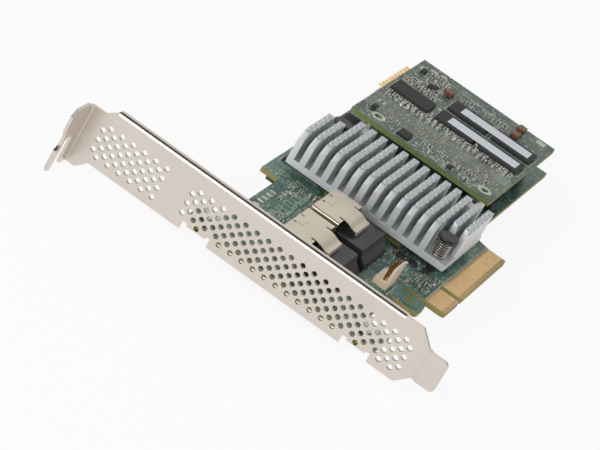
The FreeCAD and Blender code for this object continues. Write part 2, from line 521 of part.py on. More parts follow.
# ---------------------------------------------------------------- push pins and springs
# A headed plastic pin passes spring, sink and board and snaps under the board with a barb.
for letter in ("a", "b"):
    x, y = "pin_%s_x" % letter, "pin_%s_y" % letter
    number = {"a": 1, "b": 2}[letter]
    pin = part_body("push_pin_%d" % number)
    turned = sketch(pin, "push_pin_profile_%d" % number, "XZ_Plane", "0 - (%s)" % y)
    head = x + " + pin_head / 2"
    shaft = x + " + pin_shaft / 2"
    barb = x + " + pin_barb / 2"
    under = "0 - board_thick - 0.1"
    outline(turned, [(x, under + " - pin_barb_high"), (x + " + 0.7", under + " - pin_barb_high"), (barb, under),
                     (shaft, under), (shaft, "pin_top - pin_head_thick"), (head, "pin_top - pin_head_thick"),
                     (head, "pin_top - pin_head_edge"), (head + " - pin_head_edge", "pin_top"), (x, "pin_top")])
    turn = pin.newObject("PartDesign::Revolution", "push_pin_turn_%d" % number)
    turn.Profile = (turned, [""])
    turn.ReferenceAxis = (turned, ["Edge9"])
    turn.Angle = 360
    pin.Tip = turn
    doc.recompute()

    low = size("sink_base + sink_plate")
    high = size("pin_top - pin_head_thick")
    wire = size("spring_wire")
    reach = size("spring_outer") / 2 - wire / 2
    steps = 8 * NAMES["spring_turns"]
    lift = (high - low - wire) / steps
    rings = []
    for step in range(steps + 1):
        turn_by = FreeCAD.Rotation(V(0, 0, 1), 45.0 * step)
        square = ((-wire, 0), (0, -wire), (wire, 0), (0, wire))
        rings.append([turn_by.multVec(V(reach + dx / 2, 0, dz / 2)) + V(0, 0, lift * step) for dx, dz in square])
    skin = []
    for before, after in zip(rings, rings[1:]):
        for i in range(4):
            j = (i + 1) % 4
            skin.append(Part.Face(Part.makePolygon([before[i], before[j], after[j], before[i]])))
            skin.append(Part.Face(Part.makePolygon([before[i], after[j], after[i], before[i]])))
    skin += [Part.Face(Part.makePolygon(end + end[:1])) for end in (rings[0], rings[-1])]
    swept = Part.Solid(Part.makeShell(skin))
    if swept.Volume < 0:
        swept.reverse()
    spring = doc.addObject("Part::Feature", "push_pin_spring_%d" % number)
    spring.Label = "push_pin_spring_%d" % number
    spring.Shape = swept
    spring.Placement = FreeCAD.Placement(V(size(x), size(y), low + wire / 2), FreeCAD.Rotation())
    PARTS.append(spring)

# ---------------------------------------------------------------- flash memory
# Thin leaded package on the board below the sink's upper end, a row of leads at each short end.
block("flash_memory", "flash_x", "flash_x + flash_long", "flash_y", "flash_y + flash_wide",
      "flash_stand", "flash_top", True)
leads = part_body("flash_leads")
for side, start in (("near", "flash_x - flash_lead_reach"), ("far", "flash_x + flash_long")):
    one = sketch(leads, "flash_lead_" + side, "XY_Plane")
    low = "flash_y + flash_wide / 2 - (flash_leads - 1) / 2 * flash_lead_pitch - flash_lead / 2"
    rectangle(one, start, start + " + flash_lead_reach", low, low + " + flash_lead")
    grown = pad(leads, one, "flash_lead_bar_" + side, "flash_lead_high")
    pattern(leads, grown, "flash_lead_row_" + side, "Y_Axis", "flash_lead_pitch", "flash_leads")

# ---------------------------------------------------------------- internal cable receptacles
# Sheet cage open towards the upper edge, with a sloping tongue over a black moulded body.
for number in (1, 2):
    x0 = "cage_a_near + %d * cage_pitch" % (number - 1)
    x1 = x0 + " + cage_wide"
    cage = part_body("sas_cage_%d" % number)
    ring = sketch(cage, "cage_section_%d" % number, "XZ_Plane", "0 - cage_mouth")
    outline(ring, [(x0, "0"), (x0 + " + cage_sheet", "0"), (x0 + " + cage_sheet", "cage_high - cage_sheet"),
                   (x1 + " - cage_sheet", "cage_high - cage_sheet"), (x1 + " - cage_sheet", "0"), (x1, "0"),
                   (x1, "cage_high"), (x0, "cage_high")])
    pad(cage, ring, "cage_shell_%d" % number, "cage_mouth - cage_side_end")
    rounding(cage, "cage_bend_%d" % number, "0.6",
             lambda e: e.BoundBox.XLength < 0.02 and near(e.BoundBox.ZMin, "cage_high")
             and e.BoundBox.YLength > 5)
    arm = sketch(cage, "cage_tongue_side_%d" % number, "YZ_Plane", x0 + " + cage_slot_in + cage_slot_wide / 2")
    drop = "cage_high - cage_tongue_drop"
    steps = (("0.25", "0.06"), ("0.45", "0.25"), ("0.65", "0.62"), ("0.8", "0.88"), ("1.0", "1.0"))
    run = "(cage_slot_from - cage_tongue_end)"
    top = [("cage_slot_from", "cage_high")]
    top += [("cage_slot_from - %s * %s" % (a, run), "cage_high - %s * cage_tongue_drop" % b) for a, b in steps]
    back = [("cage_tongue_end + cage_sheet", drop + " - cage_sheet")]
    back += [("cage_slot_from - %s * %s + 0.1" % (a, run), "cage_high - %s * cage_tongue_drop - cage_sheet" % b)
             for a, b in steps[3::-1]]
    outline(arm, top + [("cage_tongue_end - 0.35", drop + " - cage_lip"),
                        ("cage_tongue_end", drop + " - cage_lip")]
            + back + [("cage_slot_from", "cage_high - cage_sheet")])
    pad(cage, arm, "cage_tongue_%d" % number, "cage_wide - 2 * cage_slot_in - cage_slot_wide")
    middle = x0 + " + cage_wide / 2"
    boss = sketch(cage, "cage_boss_%d" % number, "XY_Plane", "cage_high - cage_sheet / 2")
    line = "cage_mouth - boss_in"
    ends = (("-", "-"), ("+", "-"), ("+", "+"), ("-", "+"))
    corners = []
    for i, (a, b) in enumerate(ends):
        outer = ("%s %s boss_long / 2" % (middle, a), "%s %s boss_wide / 5" % (line, b))
        inner = ("%s %s (boss_long / 2 - boss_wide / 3)" % (middle, a), "%s %s boss_wide / 2" % (line, b))
        corners += [inner, outer] if i % 2 else [outer, inner]
    outline(boss, corners)
    pad(cage, boss, "cage_boss_pad_%d" % number, "cage_sheet / 2 + boss_high")
    slots = sketch(cage, "cage_slots_%d" % number, "XY_Plane", "cage_high + 1")
    for side in (x0 + " + cage_slot_in", x1 + " - cage_slot_in"):
        rectangle(slots, side + " - cage_slot_wide / 2", side + " + cage_slot_wide / 2",
                  "cage_side_end - 1", "cage_slot_from + 0.6")
    for side in ("-", "+"):
        hole = "%s %s cage_holes_apart / 2" % (middle, side)
        rectangle(slots, hole + " - cage_hole / 2", hole + " + cage_hole / 2",
                  "cage_mouth - cage_hole_in - cage_hole / 2", "cage_mouth - cage_hole_in + cage_hole / 2")
    pocket(cage, slots, "cage_cuts_%d" % number, "2")

    body_name = "sas_housing_%d" % number
    moulded = part_body(body_name)
    b0 = x0 + " + cage_sheet + housing_side"
    b1 = x1 + " - cage_sheet - housing_side"
    side = sketch(moulded, "housing_side_%d" % number, "YZ_Plane", b0)
    outline(side, [("cage_side_end", "0"), ("cage_side_end", "housing_high"), ("housing_back", "housing_high"),
                   ("housing_back - 0.5", "housing_step_high + 1.4"), ("housing_step + 0.4", "housing_step_high"),
                   ("housing_step", "housing_step_high - 0.6"), ("housing_step", "0")])
    pad(moulded, side, "housing_block_%d" % number, "cage_wide - 2 * cage_sheet - 2 * housing_side")
    nose = sketch(moulded, "housing_nose_%d" % number, "XZ_Plane", "0 - housing_front")
    rectangle(nose, b0 + " + nose_in", b1 + " - nose_in", "nose_low", "nose_high")
    pad(moulded, nose, "housing_nose_block_%d" % number, "housing_front - cage_side_end + 0.5")
    gap = sketch(moulded, "housing_slot_%d" % number, "XZ_Plane", "0 - housing_front - 1")
    rectangle(gap, b0 + " + nose_in + nose_slot_in", b1 + " - nose_in - nose_slot_in",
              "nose_slot_low", "nose_slot_low + nose_slot_tall")
    pocket(moulded, gap, "housing_slot_cut_%d" % number, "8", True)

# ---------------------------------------------------------------- friction-lock header
header = part_body("fan_header")
ends_at = "header_x + header_ways * header_pitch"
stand = sketch(header, "header_side", "YZ_Plane", "header_x")
outline(stand, [("header_y", "0"), ("header_y + header_wide", "0"), ("header_y + header_wide", "header_base"),
                ("header_y + header_wall", "header_base"), ("header_y + header_wall", "header_high - 0.8"),
                ("header_y + header_wall - 0.4", "header_high"), ("header_y", "header_high")])
pad(header, stand, "header_block", "header_ways * header_pitch")
sleeves = sketch(header, "header_pin_squares", "XY_Plane")
posts = []
for way in range(NAMES["header_ways"]):
    middle = "header_x + (%d + 0.5) * header_pitch" % way
    side = "header_pin / 2"
    rectangle(sleeves, middle + " - " + side, middle + " + " + side, "header_pin_y - " + side, "header_pin_y + " + side)
    posts.append(block("header_post_%d" % way, middle + " - " + side, middle + " + " + side,
                       "header_pin_y - " + side, "header_pin_y + " + side,
                       "0 - header_pin_tail", "header_pin_top"))
pocket(header, sleeves, "header_sockets")
group("header_pins", posts)

# ---------------------------------------------------------------- cache memory card
cache = part_body("cache_board")
plan = sketch(cache, "cache_outline", "XY_Plane", "cache_stand")
rectangle(plan, "cache_near", "cache_far", "cache_low", "cache_high")
pad(cache, plan, "cache_blank", "cache_thick")
bores = sketch(cache, "cache_circles", "XY_Plane", "cache_stand")
for which in ("stand_upper", "stand_lower"):
    circle(bores, "stand_x", which, "stand_bore")
pocket(cache, bores, "cache_holes")

# Threaded spacers carry the near corners on their upper ends; a screw holds each from below.
spacers = []
card_screws = []
for which in ("stand_upper", "stand_lower"):
    tube = doc.addObject("Part::Cut", which + "_tube")
    tube.Base = rod(which + "_rod", "stand_x", which, "0", "cache_stand", "stand_wide")
    tube.Tool = rod(which + "_bore", "stand_x", which, "-1", "cache_stand + 1", "stand_bore")
    spacers.append(tube)
    screw = doc.addObject("Part::Fuse", which + "_screw")
    screw.Base = rod(which + "_shank", "stand_x", which, "0 - board_thick - 0.2", "stand_screw_long", "stand_screw")
    screw.Tool = rod(which + "_head", "stand_x", which, "0 - board_thick - stand_head_high",
                     "0 - board_thick", "stand_head")
    card_screws.append(screw)
group("cache_spacers", spacers)
group("cache_screws", card_screws)

# ---------------------------------------------------------------- board-to-board connector
socket = part_body("link_socket")
plan = sketch(socket, "link_socket_outline", "XY_Plane")
rectangle(plan, "link_near", "link_far", "link_low", "link_high")
pad(socket, plan, "link_socket_block", "link_split")
well = sketch(socket, "link_socket_well", "XY_Plane", "link_split")
rectangle(well, "link_near + link_wall", "link_far - link_wall", "link_low + link_wall", "link_high - link_wall")
pocket(socket, well, "link_socket_cut", "link_split - link_floor")
plug = part_body("link_plug")
plan = sketch(plug, "link_plug_outline", "XY_Plane", "link_split")
rectangle(plan, "link_near", "link_far", "link_low", "link_high")
pad(plug, plan, "link_plug_block", "cache_stand - link_split")
blade = sketch(plug, "link_plug_blade", "XY_Plane", "link_floor")
middle = "link_near + link_wide / 2"
rectangle(blade, middle + " - link_tongue_wide / 2", middle + " + link_tongue_wide / 2",
          "link_low + link_wall + link_clear", "link_high - link_wall - link_clear")
pad(plug, blade, "link_plug_tongue", "link_split - link_floor + 0.5")

# ---------------------------------------------------------------- right-angle pin header
side_end = "side_pin_first + (side_pins - 0.5) * side_pin_pitch"
block("side_header", "side_pin_first - side_pin_pitch / 2", side_end, "side_body_from",
      "side_body_from + side_body_deep", "0", "side_body_high", True)
bars = part_body("side_header_pins")
for level in ("low", "high"):
    one = sketch(bars, "side_pin_" + level, "XY_Plane", "side_pin_%s - side_pin / 2" % level)
    rectangle(one, "side_pin_first - side_pin / 2", "side_pin_first + side_pin / 2",
              "side_body_from + side_body_deep", "side_pin_tip")
    grown = pad(bars, one, "side_pin_bar_" + level, "side_pin")
    pattern(bars, grown, "side_pin_row_" + level, "X_Axis", "side_pin_pitch", "side_pins")

# ---------------------------------------------------------------- memory packages and labels
rams = (("ram_row_a", "ram_first"), ("ram_row_a", "ram_second"), ("ram_row_a", "ram_third"),
        ("ram_row_b", "ram_second"), ("ram_row_b", "ram_third"))
for number, (row, start) in enumerate(rams, 1):
    block("memory_chip_%d" % number, row, row + " + ram_wide", start, start + " + ram_long",
          "card_top", "card_top + ram_thick", True)
for number, row in enumerate(("ram_row_a", "ram_row_b"), 1):
    block("label_strip_%d" % number, row + " + strip_in", row + " + strip_in + strip_wide",
          "strip_low", "strip_low + strip_long",
          "card_top + ram_thick", "card_top + ram_thick + strip_thick", True)

# ---------------------------------------------------------------- other small components
low = "cache_high - regulator_down"
block("regulator_chip", "cache_near + regulator_in", "cache_near + regulator_in + regulator_long",
      low, low + " + regulator_wide", "card_top", "card_top + regulator_thick", True)
tantalum = []
for letter, low in (("a", "cache_high - tantalum_a_down"), ("b", "cache_low + tantalum_b_up"),
                    ("c", "cache_low + tantalum_c_up")):
    x = "cache_far - tantalum_%s_in" % letter
    tantalum.append(block("tantalum_" + letter, x, x + " + tantalum_long", low, low + " + tantalum_wide",
                          "card_top", "card_top + tantalum_thick"))
group("tantalum_capacitors", tantalum)
x, low = "stand_x - coil_long * 0.6", "stand_upper + coil_off"
block("power_inductor", x, x + " + coil_long", low, low + " + coil_wide", "0", "coil_high", True)
x, low = "cache_near + rear_flash_in", "cache_low + rear_flash_up"
block("rear_flash_chip", x, x + " + rear_flash_long", low, low + " + rear_flash_wide",
      "flash_stand", "flash_stand + rear_flash_thick", True)
x, low = "upper_notch_far + under_part_off", "board_high - under_part_down"
block("under_capacitor", x, x + " + under_part_long", low, low + " + under_part_wide",
      "0 - board_thick - under_part_high", "0 - board_thick", True)
chips = []
for number in range(NAMES["link_chips"]):
    x, low = "link_chip_near + %d * link_chip_pitch" % number, "board_high - link_chip_down"
    chips.append(block("chip_part_%d" % (number + 1), x, x + " + link_chip_long", low, low + " + link_chip_wide",
                       "0", "link_chip_high"))
group("chip_resistors", chips)

# ---------------------------------------------------------------- checks and files
doc.recompute()
for obj in doc.Objects:
    if "Invalid" in obj.State or "Error" in obj.State:
        raise RuntimeError("%s did not build: %s" % (obj.Name, obj.State))
for piece in PARTS:
    if piece.Shape.isNull() or not piece.Shape.isValid():
        raise RuntimeError(piece.Label + " has no sound shape")
os.makedirs("parts", exist_ok=True)
for piece in PARTS:
    piece.Shape.exportStep("parts/%s.step" % piece.Label)
print("%d sub-parts, %d solids" % (len(PARTS), sum(len(p.Shape.Solids) for p in PARTS)))
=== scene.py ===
import math
import random

import bpy
from mathutils import Matrix, Vector


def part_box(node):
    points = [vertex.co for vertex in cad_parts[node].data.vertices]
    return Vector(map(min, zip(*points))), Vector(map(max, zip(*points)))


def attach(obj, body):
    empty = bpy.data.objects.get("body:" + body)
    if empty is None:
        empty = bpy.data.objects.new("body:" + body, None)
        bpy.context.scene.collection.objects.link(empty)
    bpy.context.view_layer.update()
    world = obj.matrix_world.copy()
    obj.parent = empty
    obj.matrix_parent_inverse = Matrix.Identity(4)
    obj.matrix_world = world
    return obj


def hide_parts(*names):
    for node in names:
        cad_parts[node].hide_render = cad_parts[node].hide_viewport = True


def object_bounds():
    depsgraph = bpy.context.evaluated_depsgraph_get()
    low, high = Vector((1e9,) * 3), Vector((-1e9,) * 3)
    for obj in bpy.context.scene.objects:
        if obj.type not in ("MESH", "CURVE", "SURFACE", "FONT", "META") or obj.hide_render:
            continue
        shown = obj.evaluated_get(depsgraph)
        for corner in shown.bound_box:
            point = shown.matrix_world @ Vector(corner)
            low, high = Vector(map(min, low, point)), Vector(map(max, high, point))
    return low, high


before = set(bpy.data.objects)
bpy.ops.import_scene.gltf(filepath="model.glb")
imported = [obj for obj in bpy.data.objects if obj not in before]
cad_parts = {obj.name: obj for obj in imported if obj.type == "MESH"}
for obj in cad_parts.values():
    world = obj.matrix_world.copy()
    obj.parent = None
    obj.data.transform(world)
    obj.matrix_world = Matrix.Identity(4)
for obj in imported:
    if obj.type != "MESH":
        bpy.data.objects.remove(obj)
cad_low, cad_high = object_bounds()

MM = 0.001
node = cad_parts

# ------------------------------------------------------------------ view and studio
# The card lies on a pale table under large soft lamps, and the camera looks along the
# board from the bracket's end, tipped to one side as a hand-held card would be.
card_centre = Vector((84, -28, 4)) * MM
camera_place = Vector((-685.9, -170.9, 361.6)) * MM
look = Vector((0.88033, 0.17547, -0.44072)).normalized()
level_right = look.cross(Vector((0, 0, 1))).normalized()
level_up = level_right.cross(look)
roll = math.radians(30.3)
right = level_right * math.cos(roll) + level_up * math.sin(roll)
up = level_up * math.cos(roll) - level_right * math.sin(roll)
camera_data = bpy.data.cameras.new("camera")
camera_data.lens = 175.44
camera_data.sensor_width = 36
camera_data.clip_start = 0.05
camera = bpy.data.objects.new("camera", camera_data)
bpy.context.scene.collection.objects.link(camera)
turned = Matrix((right, up, -look)).transposed().to_4x4()
camera.matrix_world = Matrix.Translation(camera_place) @ turned
bpy.context.scene.camera = camera
bpy.context.scene.view_settings.view_transform = "Standard"


def add_node(material, kind, inputs=None, **settings):
    """A node with its settings; an input is a number, a colour or another node's socket."""
    made = material.node_tree.nodes.new(kind)
    for name, value in settings.items():
        setattr(made, name, value)
    for name, value in (inputs or {}).items():
        socket = made.inputs[name]
        if isinstance(value, bpy.types.NodeSocket):
            material.node_tree.links.new(value, socket)
        else:
            socket.default_value = value
    return made


def colour(code):
    """Linear colour of an sRGB hex code."""
    parts = [int(code[i:i + 2], 16) / 255 for i in (1, 3, 5)]
    return [c / 12.92 if c <= 0.04045 else ((c + 0.055) / 1.055) ** 2.4 for c in parts] + [1]


def new_material(name):
    """An empty material, ready for its nodes."""
    made = bpy.data.materials.new(name)
    made.use_nodes = True
    made.node_tree.nodes.clear()
    return made


def finish_material(made, surface):
    """Joins the last shader to the output."""
    output = add_node(made, "ShaderNodeOutputMaterial")
    made.node_tree.links.new(surface, output.inputs["Surface"])
    return made


def deselect():
    """Object mode with nothing selected, as every operator here needs."""
    if bpy.context.object and bpy.context.object.mode != "OBJECT":
        bpy.ops.object.mode_set(mode="OBJECT")
    bpy.ops.object.select_all(action="DESELECT")


# Table: white laminate, a matt sheet that the camera and mirror-like faces see lit from
# within, with a share of its own shade left so that the card's shadow stays.
shade_kept = 0.1
white_table = new_material("white_laminate_table")
lit = add_node(white_table, "ShaderNodeBsdfDiffuse", {"Color": colour("#FAFAFA")})
glow = add_node(white_table, "ShaderNodeEmission", {"Color": (1, 1, 1, 1), "Strength": 1.0})
shown = add_node(white_table, "ShaderNodeMixShader", {0: shade_kept})
white_table.node_tree.links.new(glow.outputs[0], shown.inputs[1])
white_table.node_tree.links.new(lit.outputs[0], shown.inputs[2])
path = add_node(white_table, "ShaderNodeLightPath")
seen = add_node(white_table, "ShaderNodeMath",
                {0: path.outputs["Is Camera Ray"], 1: path.outputs["Is Glossy Ray"]},
                operation="MAXIMUM")
whole = add_node(white_table, "ShaderNodeMixShader", {0: seen.outputs[0]})
white_table.node_tree.links.new(lit.outputs[0], whole.inputs[1])
white_table.node_tree.links.new(shown.outputs[0], whole.inputs[2])
finish_material(white_table, whole.outputs[0])
deselect()
bpy.ops.mesh.primitive_plane_add(size=6, location=(0.1, 0, cad_low.z))
table = bpy.context.object
table.name = "table"
table.data.materials.append(white_table)

# Room: pale walls, dark straight above the card and far in front of the bracket, so that
# flat metal shows a band of shade beside its bright edge.
world = bpy.data.worlds.new("studio")
bpy.context.scene.world = world
world.use_nodes = True
room = add_node(world, "ShaderNodeTexCoord")


def dark_patch(way, edge, core):
    """How dark the room is, from 0 to 1, by how nearly a direction is the patch's own."""
    nearness = add_node(world, "ShaderNodeVectorMath", {0: room.outputs["Generated"], 1: way},
                        operation="DOT_PRODUCT")
    return add_node(world, "ShaderNodeMapRange",
                    {"Value": nearness.outputs["Value"], "From Min": edge, "From Max": core})


ceiling = dark_patch((-0.1, 0.17, 0.98), 0.72, 0.84)
doorway = dark_patch((-0.98, 0.17, 0.03), 0.95, 0.99)
darkest = add_node(world, "ShaderNodeMath", {0: ceiling.outputs[0], 1: doorway.outputs[0]},
                   operation="MAXIMUM")
walls = add_node(world, "ShaderNodeMix",
                 {"Factor": darkest.outputs[0], "A": (1, 1, 1, 1), "B": (0.05, 0.05, 0.05, 1)},
                 data_type="RGBA")
backdrop = world.node_tree.nodes["Background"]
world.node_tree.links.new(walls.outputs["Result"], backdrop.inputs["Color"])
backdrop.inputs["Strength"].default_value = 0.45


def add_lamp(name, place, wide, power):
    """A round soft lamp that faces the card: place and width in metres, power in watts."""
    data = bpy.data.lights.new(name, "AREA")
    data.shape = "DISK"
    data.size = wide
    data.energy = power
    lamp = bpy.data.objects.new(name, data)
    bpy.context.scene.collection.objects.link(lamp)
    lamp.location = card_centre + Vector(place)
    lamp.rotation_mode = "QUATERNION"
    lamp.rotation_quaternion = (card_centre - lamp.location).to_track_quat("-Z", "Y")


add_lamp("key_lamp", (-0.7, 1.0, 0.95), 0.9, 6)
add_lamp("front_lamp", (-1.25, 0.35, 0.4), 1.1, 11)
add_lamp("far_lamp", (1.1, 0.22, 0.6), 0.9, 0.9)
add_lamp("side_lamp", (0.3, -1.2, 0.5), 0.9, 3)

# ------------------------------------------------------------------ bracket
# Cold-rolled steel sheet, punched, folded and then tin plated; the tab, flange and ears are
# all one piece with the vented plate, so the CAD form stays and takes the plated finish.


def plated_steel(name, tint, dull):
    # Tin plating over rolled sheet: a warm grey satin with a faint cloud, and fine rolling
    # marks 0.3 mm apart, drawn a little coarser than the real ones so that they show.
    made = new_material(name)
    where = add_node(made, "ShaderNodeTexCoord")
    cloud = add_node(made, "ShaderNodeTexNoise",
                     {"Vector": where.outputs["Object"], "Scale": 90, "Detail": 3})
    tone = add_node(made, "ShaderNodeMapRange",
                    {"Value": cloud.outputs["Fac"], "To Min": 0.94, "To Max": 1.05})
    base = add_node(made, "ShaderNodeMix", {"Factor": 1.0, "A": colour(tint), "B": tone.outputs[0]},
                    data_type="RGBA", blend_type="MULTIPLY")
    stretch = add_node(made, "ShaderNodeMapping",
                       {"Vector": where.outputs["Object"], "Scale": (300, 300, 3300)})
    grain = add_node(made, "ShaderNodeTexNoise",
                     {"Vector": stretch.outputs[0], "Scale": 1, "Detail": 2})
    rough = add_node(made, "ShaderNodeMapRange",
                     {"Value": grain.outputs["Fac"], "To Min": dull - 0.05, "To Max": dull + 0.07})
    relief = add_node(made, "ShaderNodeBump",
                      {"Height": grain.outputs["Fac"], "Strength": 0.03, "Distance": 0.00002})
    skin = add_node(made, "ShaderNodeBsdfPrincipled",
                    {"Base Color": base.outputs["Result"], "Metallic": 1.0, "Roughness": rough.outputs[0],
                     "Normal": relief.outputs[0]})
    return finish_material(made, skin.outputs[0])


def set_material(name, material):
    """The finish of a carried-over CAD node."""
    slots = node[name].data.materials
    slots.clear()
    slots.append(material)


# Tin on the bracket is warm; bright zinc on the screws is cooler and a little glossier.
set_material("bracket", plated_steel("tin_plated_steel", "#D6CDC4", 0.28))
zinc_steel = plated_steel("zinc_plated_steel", "#B9BBBE", 0.26)
set_material("bracket_screws", zinc_steel)

# ------------------------------------------------------------------ main board
# Woven glass laminate under green solder mask.  Buried copper shows as paler pours, fine
# slanting traces and rows of tinned vias; the sawn edges are bare tan laminate.


def masked_laminate(name, over_glass, over_copper, pale, busy, edge, streaks=None):
    # Solder mask over glass laminate: glossy green with tone steps where copper lies under it,
    # traces 0.25 mm wide, vias 0.5 mm across and part lands, drawn about twice their real size.
    # "busy" is the share of the face that carries lands; "streaks" is the middle and half
    # width, along X in mm, of a band where close copper runs show through.
    trace_pitch, trace_run, trace_edge = 0.95, 7.5, 0.14
    land_long, land_pitch, land_edge = 1.9, 1.25, 0.24
    vias_a_mm, via_reach = 0.7, 0.2
    made = new_material(name)
    where = add_node(made, "ShaderNodeTexCoord")
    in_mm = add_node(made, "ShaderNodeMapping",
                     {"Vector": where.outputs["Object"], "Scale": (1 / MM, 1 / MM, 1 / MM)})
    pours = add_node(made, "ShaderNodeTexVoronoi", {"Vector": in_mm.outputs[0], "Scale": 0.17},
                     distance="CHEBYCHEV")
    pour = add_node(made, "ShaderNodeSeparateColor", {"Color": pours.outputs["Color"]})
    poured = add_node(made, "ShaderNodeMapRange",
                      {"Value": pour.outputs[0], "From Min": 0.35, "From Max": 0.45})
    mask = add_node(made, "ShaderNodeMix",
                    {"Factor": poured.outputs[0], "A": colour(over_glass), "B": colour(over_copper)},
                    data_type="RGBA")
    strength = add_node(made, "ShaderNodeMapRange",
                        {"Value": pour.outputs[1], "From Min": 0.25, "From Max": 0.5})
    steer = add_node(made, "ShaderNodeMath", {0: pour.outputs[2], 1: 0.5}, operation="GREATER_THAN")
    angle = add_node(made, "ShaderNodeMath", {0: steer.outputs[0], 1: math.pi / 4},
                     operation="MULTIPLY")
    turned_to = add_node(made, "ShaderNodeVectorRotate",
                         {"Vector": in_mm.outputs[0], "Angle": angle.outputs[0]},
                         rotation_type="Z_AXIS")
    traces = add_node(made, "ShaderNodeTexBrick",
                      {"Vector": turned_to.outputs[0], "Color1": (0, 0, 0, 1), "Color2": (0, 0, 0, 1),
                       "Mortar": (1, 1, 1, 1), "Scale": 1.0, "Mortar Size": trace_edge,
                       "Mortar Smooth": 0.4, "Brick Width": trace_run, "Row Height": trace_pitch})
    lit_trace = add_node(made, "ShaderNodeMath", {0: traces.outputs["Color"], 1: strength.outputs[0]},
                         operation="MULTIPLY")
    soft_trace = add_node(made, "ShaderNodeMath", {0: lit_trace.outputs[0], 1: 0.32},
                          operation="MULTIPLY")
    surface = add_node(made, "ShaderNodeMix",
                       {"Factor": soft_trace.outputs[0], "A": mask.outputs["Result"], "B": colour(pale)},
                       data_type="RGBA")
    if streaks:
        place = add_node(made, "ShaderNodeSeparateXYZ", {"Vector": in_mm.outputs[0]})
        inside = add_node(made, "ShaderNodeMath", {0: place.outputs["X"], 1: streaks[0], 2: streaks[1]},
                          operation="COMPARE")
        runs = add_node(made, "ShaderNodeTexBrick",
                        {"Vector": in_mm.outputs[0], "Color1": colour("#40604F"),
                         "Color2": colour("#8A755C"), "Mortar": colour("#9AA892"), "Scale": 1.0,
                         "Mortar Size": 0.09, "Mortar Smooth": 0.5,
                         "Brick Width": 4.6, "Row Height": 0.85})
        share = add_node(made, "ShaderNodeMath", {0: inside.outputs[0], 1: 0.62}, operation="MULTIPLY")
        surface = add_node(made, "ShaderNodeMix",
                           {"Factor": share.outputs[0], "A": surface.outputs["Result"],
                            "B": runs.outputs["Color"]}, data_type="RGBA")
    lands = add_node(made, "ShaderNodeTexBrick",
                     {"Vector": in_mm.outputs[0], "Color1": (0, 0, 0, 1), "Color2": (1, 1, 1, 1),
                      "Mortar": (0, 0, 0, 1), "Scale": 1.0, "Mortar Size": land_edge,
                      "Mortar Smooth": 0.1, "Brick Width": land_long, "Row Height": land_pitch})
    fitted = add_node(made, "ShaderNodeMath", {0: lands.outputs["Color"], 1: 0.6},
                      operation="GREATER_THAN")
    groups = add_node(made, "ShaderNodeTexNoise",
                      {"Vector": in_mm.outputs[0], "Scale": 0.16, "Detail": 1})
    group = add_node(made, "ShaderNodeMath", {0: groups.outputs["Fac"], 1: 1 - busy},
                     operation="GREATER_THAN")
    land = add_node(made, "ShaderNodeMath", {0: fitted.outputs[0], 1: group.outputs[0]},
                    operation="MULTIPLY")
    soft_land = add_node(made, "ShaderNodeMath", {0: land.outputs[0], 1: 0.6}, operation="MULTIPLY")
    landed = add_node(made, "ShaderNodeMix",
                      {"Factor": soft_land.outputs[0], "A": surface.outputs["Result"], "B": colour(pale)},
                      data_type="RGBA")
    holes = add_node(made, "ShaderNodeTexVoronoi",
                     {"Vector": in_mm.outputs[0], "Scale": vias_a_mm, "Randomness": 0.8})
    via = add_node(made, "ShaderNodeMath", {0: holes.outputs["Distance"], 1: via_reach},
                   operation="LESS_THAN")
    where_vias = add_node(made, "ShaderNodeTexNoise",
                          {"Vector": in_mm.outputs[0], "Scale": 0.12, "Detail": 1})
    via_field = add_node(made, "ShaderNodeMath", {0: where_vias.outputs["Fac"], 1: 0.47},
                         operation="GREATER_THAN")
    tinned = add_node(made, "ShaderNodeMath", {0: via.outputs[0], 1: via_field.outputs[0]},
                      operation="MULTIPLY")
    dotted = add_node(made, "ShaderNodeMix",
                      {"Factor": tinned.outputs[0], "A": landed.outputs["Result"],
                       "B": colour("#C4CABA")},
                      data_type="RGBA")
    facing = add_node(made, "ShaderNodeNewGeometry")
    parts = add_node(made, "ShaderNodeSeparateXYZ", {"Vector": facing.outputs["Normal"]})
    flatness = add_node(made, "ShaderNodeMath", {0: parts.outputs["Z"]}, operation="ABSOLUTE")
    side = add_node(made, "ShaderNodeMath", {0: flatness.outputs[0], 1: 0.5}, operation="LESS_THAN")
    weave = add_node(made, "ShaderNodeTexNoise", {"Vector": in_mm.outputs[0], "Scale": 1.4, "Detail": 3})
    sawn = add_node(made, "ShaderNodeMix",
                    {"Factor": weave.outputs["Fac"], "A": colour(edge[0]), "B": colour(edge[1])},
                    data_type="RGBA")
    whole = add_node(made, "ShaderNodeMix",
                     {"Factor": side.outputs[0], "A": dotted.outputs["Result"],
                      "B": sawn.outputs["Result"]},
                     data_type="RGBA")
    rough = add_node(made, "ShaderNodeMapRange",
                     {"Value": side.outputs[0], "To Min": 0.34, "To Max": 0.75})
    height = add_node(made, "ShaderNodeMath", {0: lit_trace.outputs[0], 1: tinned.outputs[0]},
                      operation="ADD")
    relief = add_node(made, "ShaderNodeBump",
                      {"Height": height.outputs[0], "Strength": 0.25, "Distance": 0.00004})
    skin = add_node(made, "ShaderNodeBsdfPrincipled",
                    {"Base Color": whole.outputs["Result"], "Roughness": rough.outputs[0], "IOR": 1.5,
                     "Normal": relief.outputs[0]})
    return finish_material(made, skin.outputs[0])


set_material("main_board",
             masked_laminate("green_mask_on_glass_laminate", "#2F5549", "#4E7868", "#9DBBAE", 0.52,
                             ("#A8985E", "#8A8A50")))


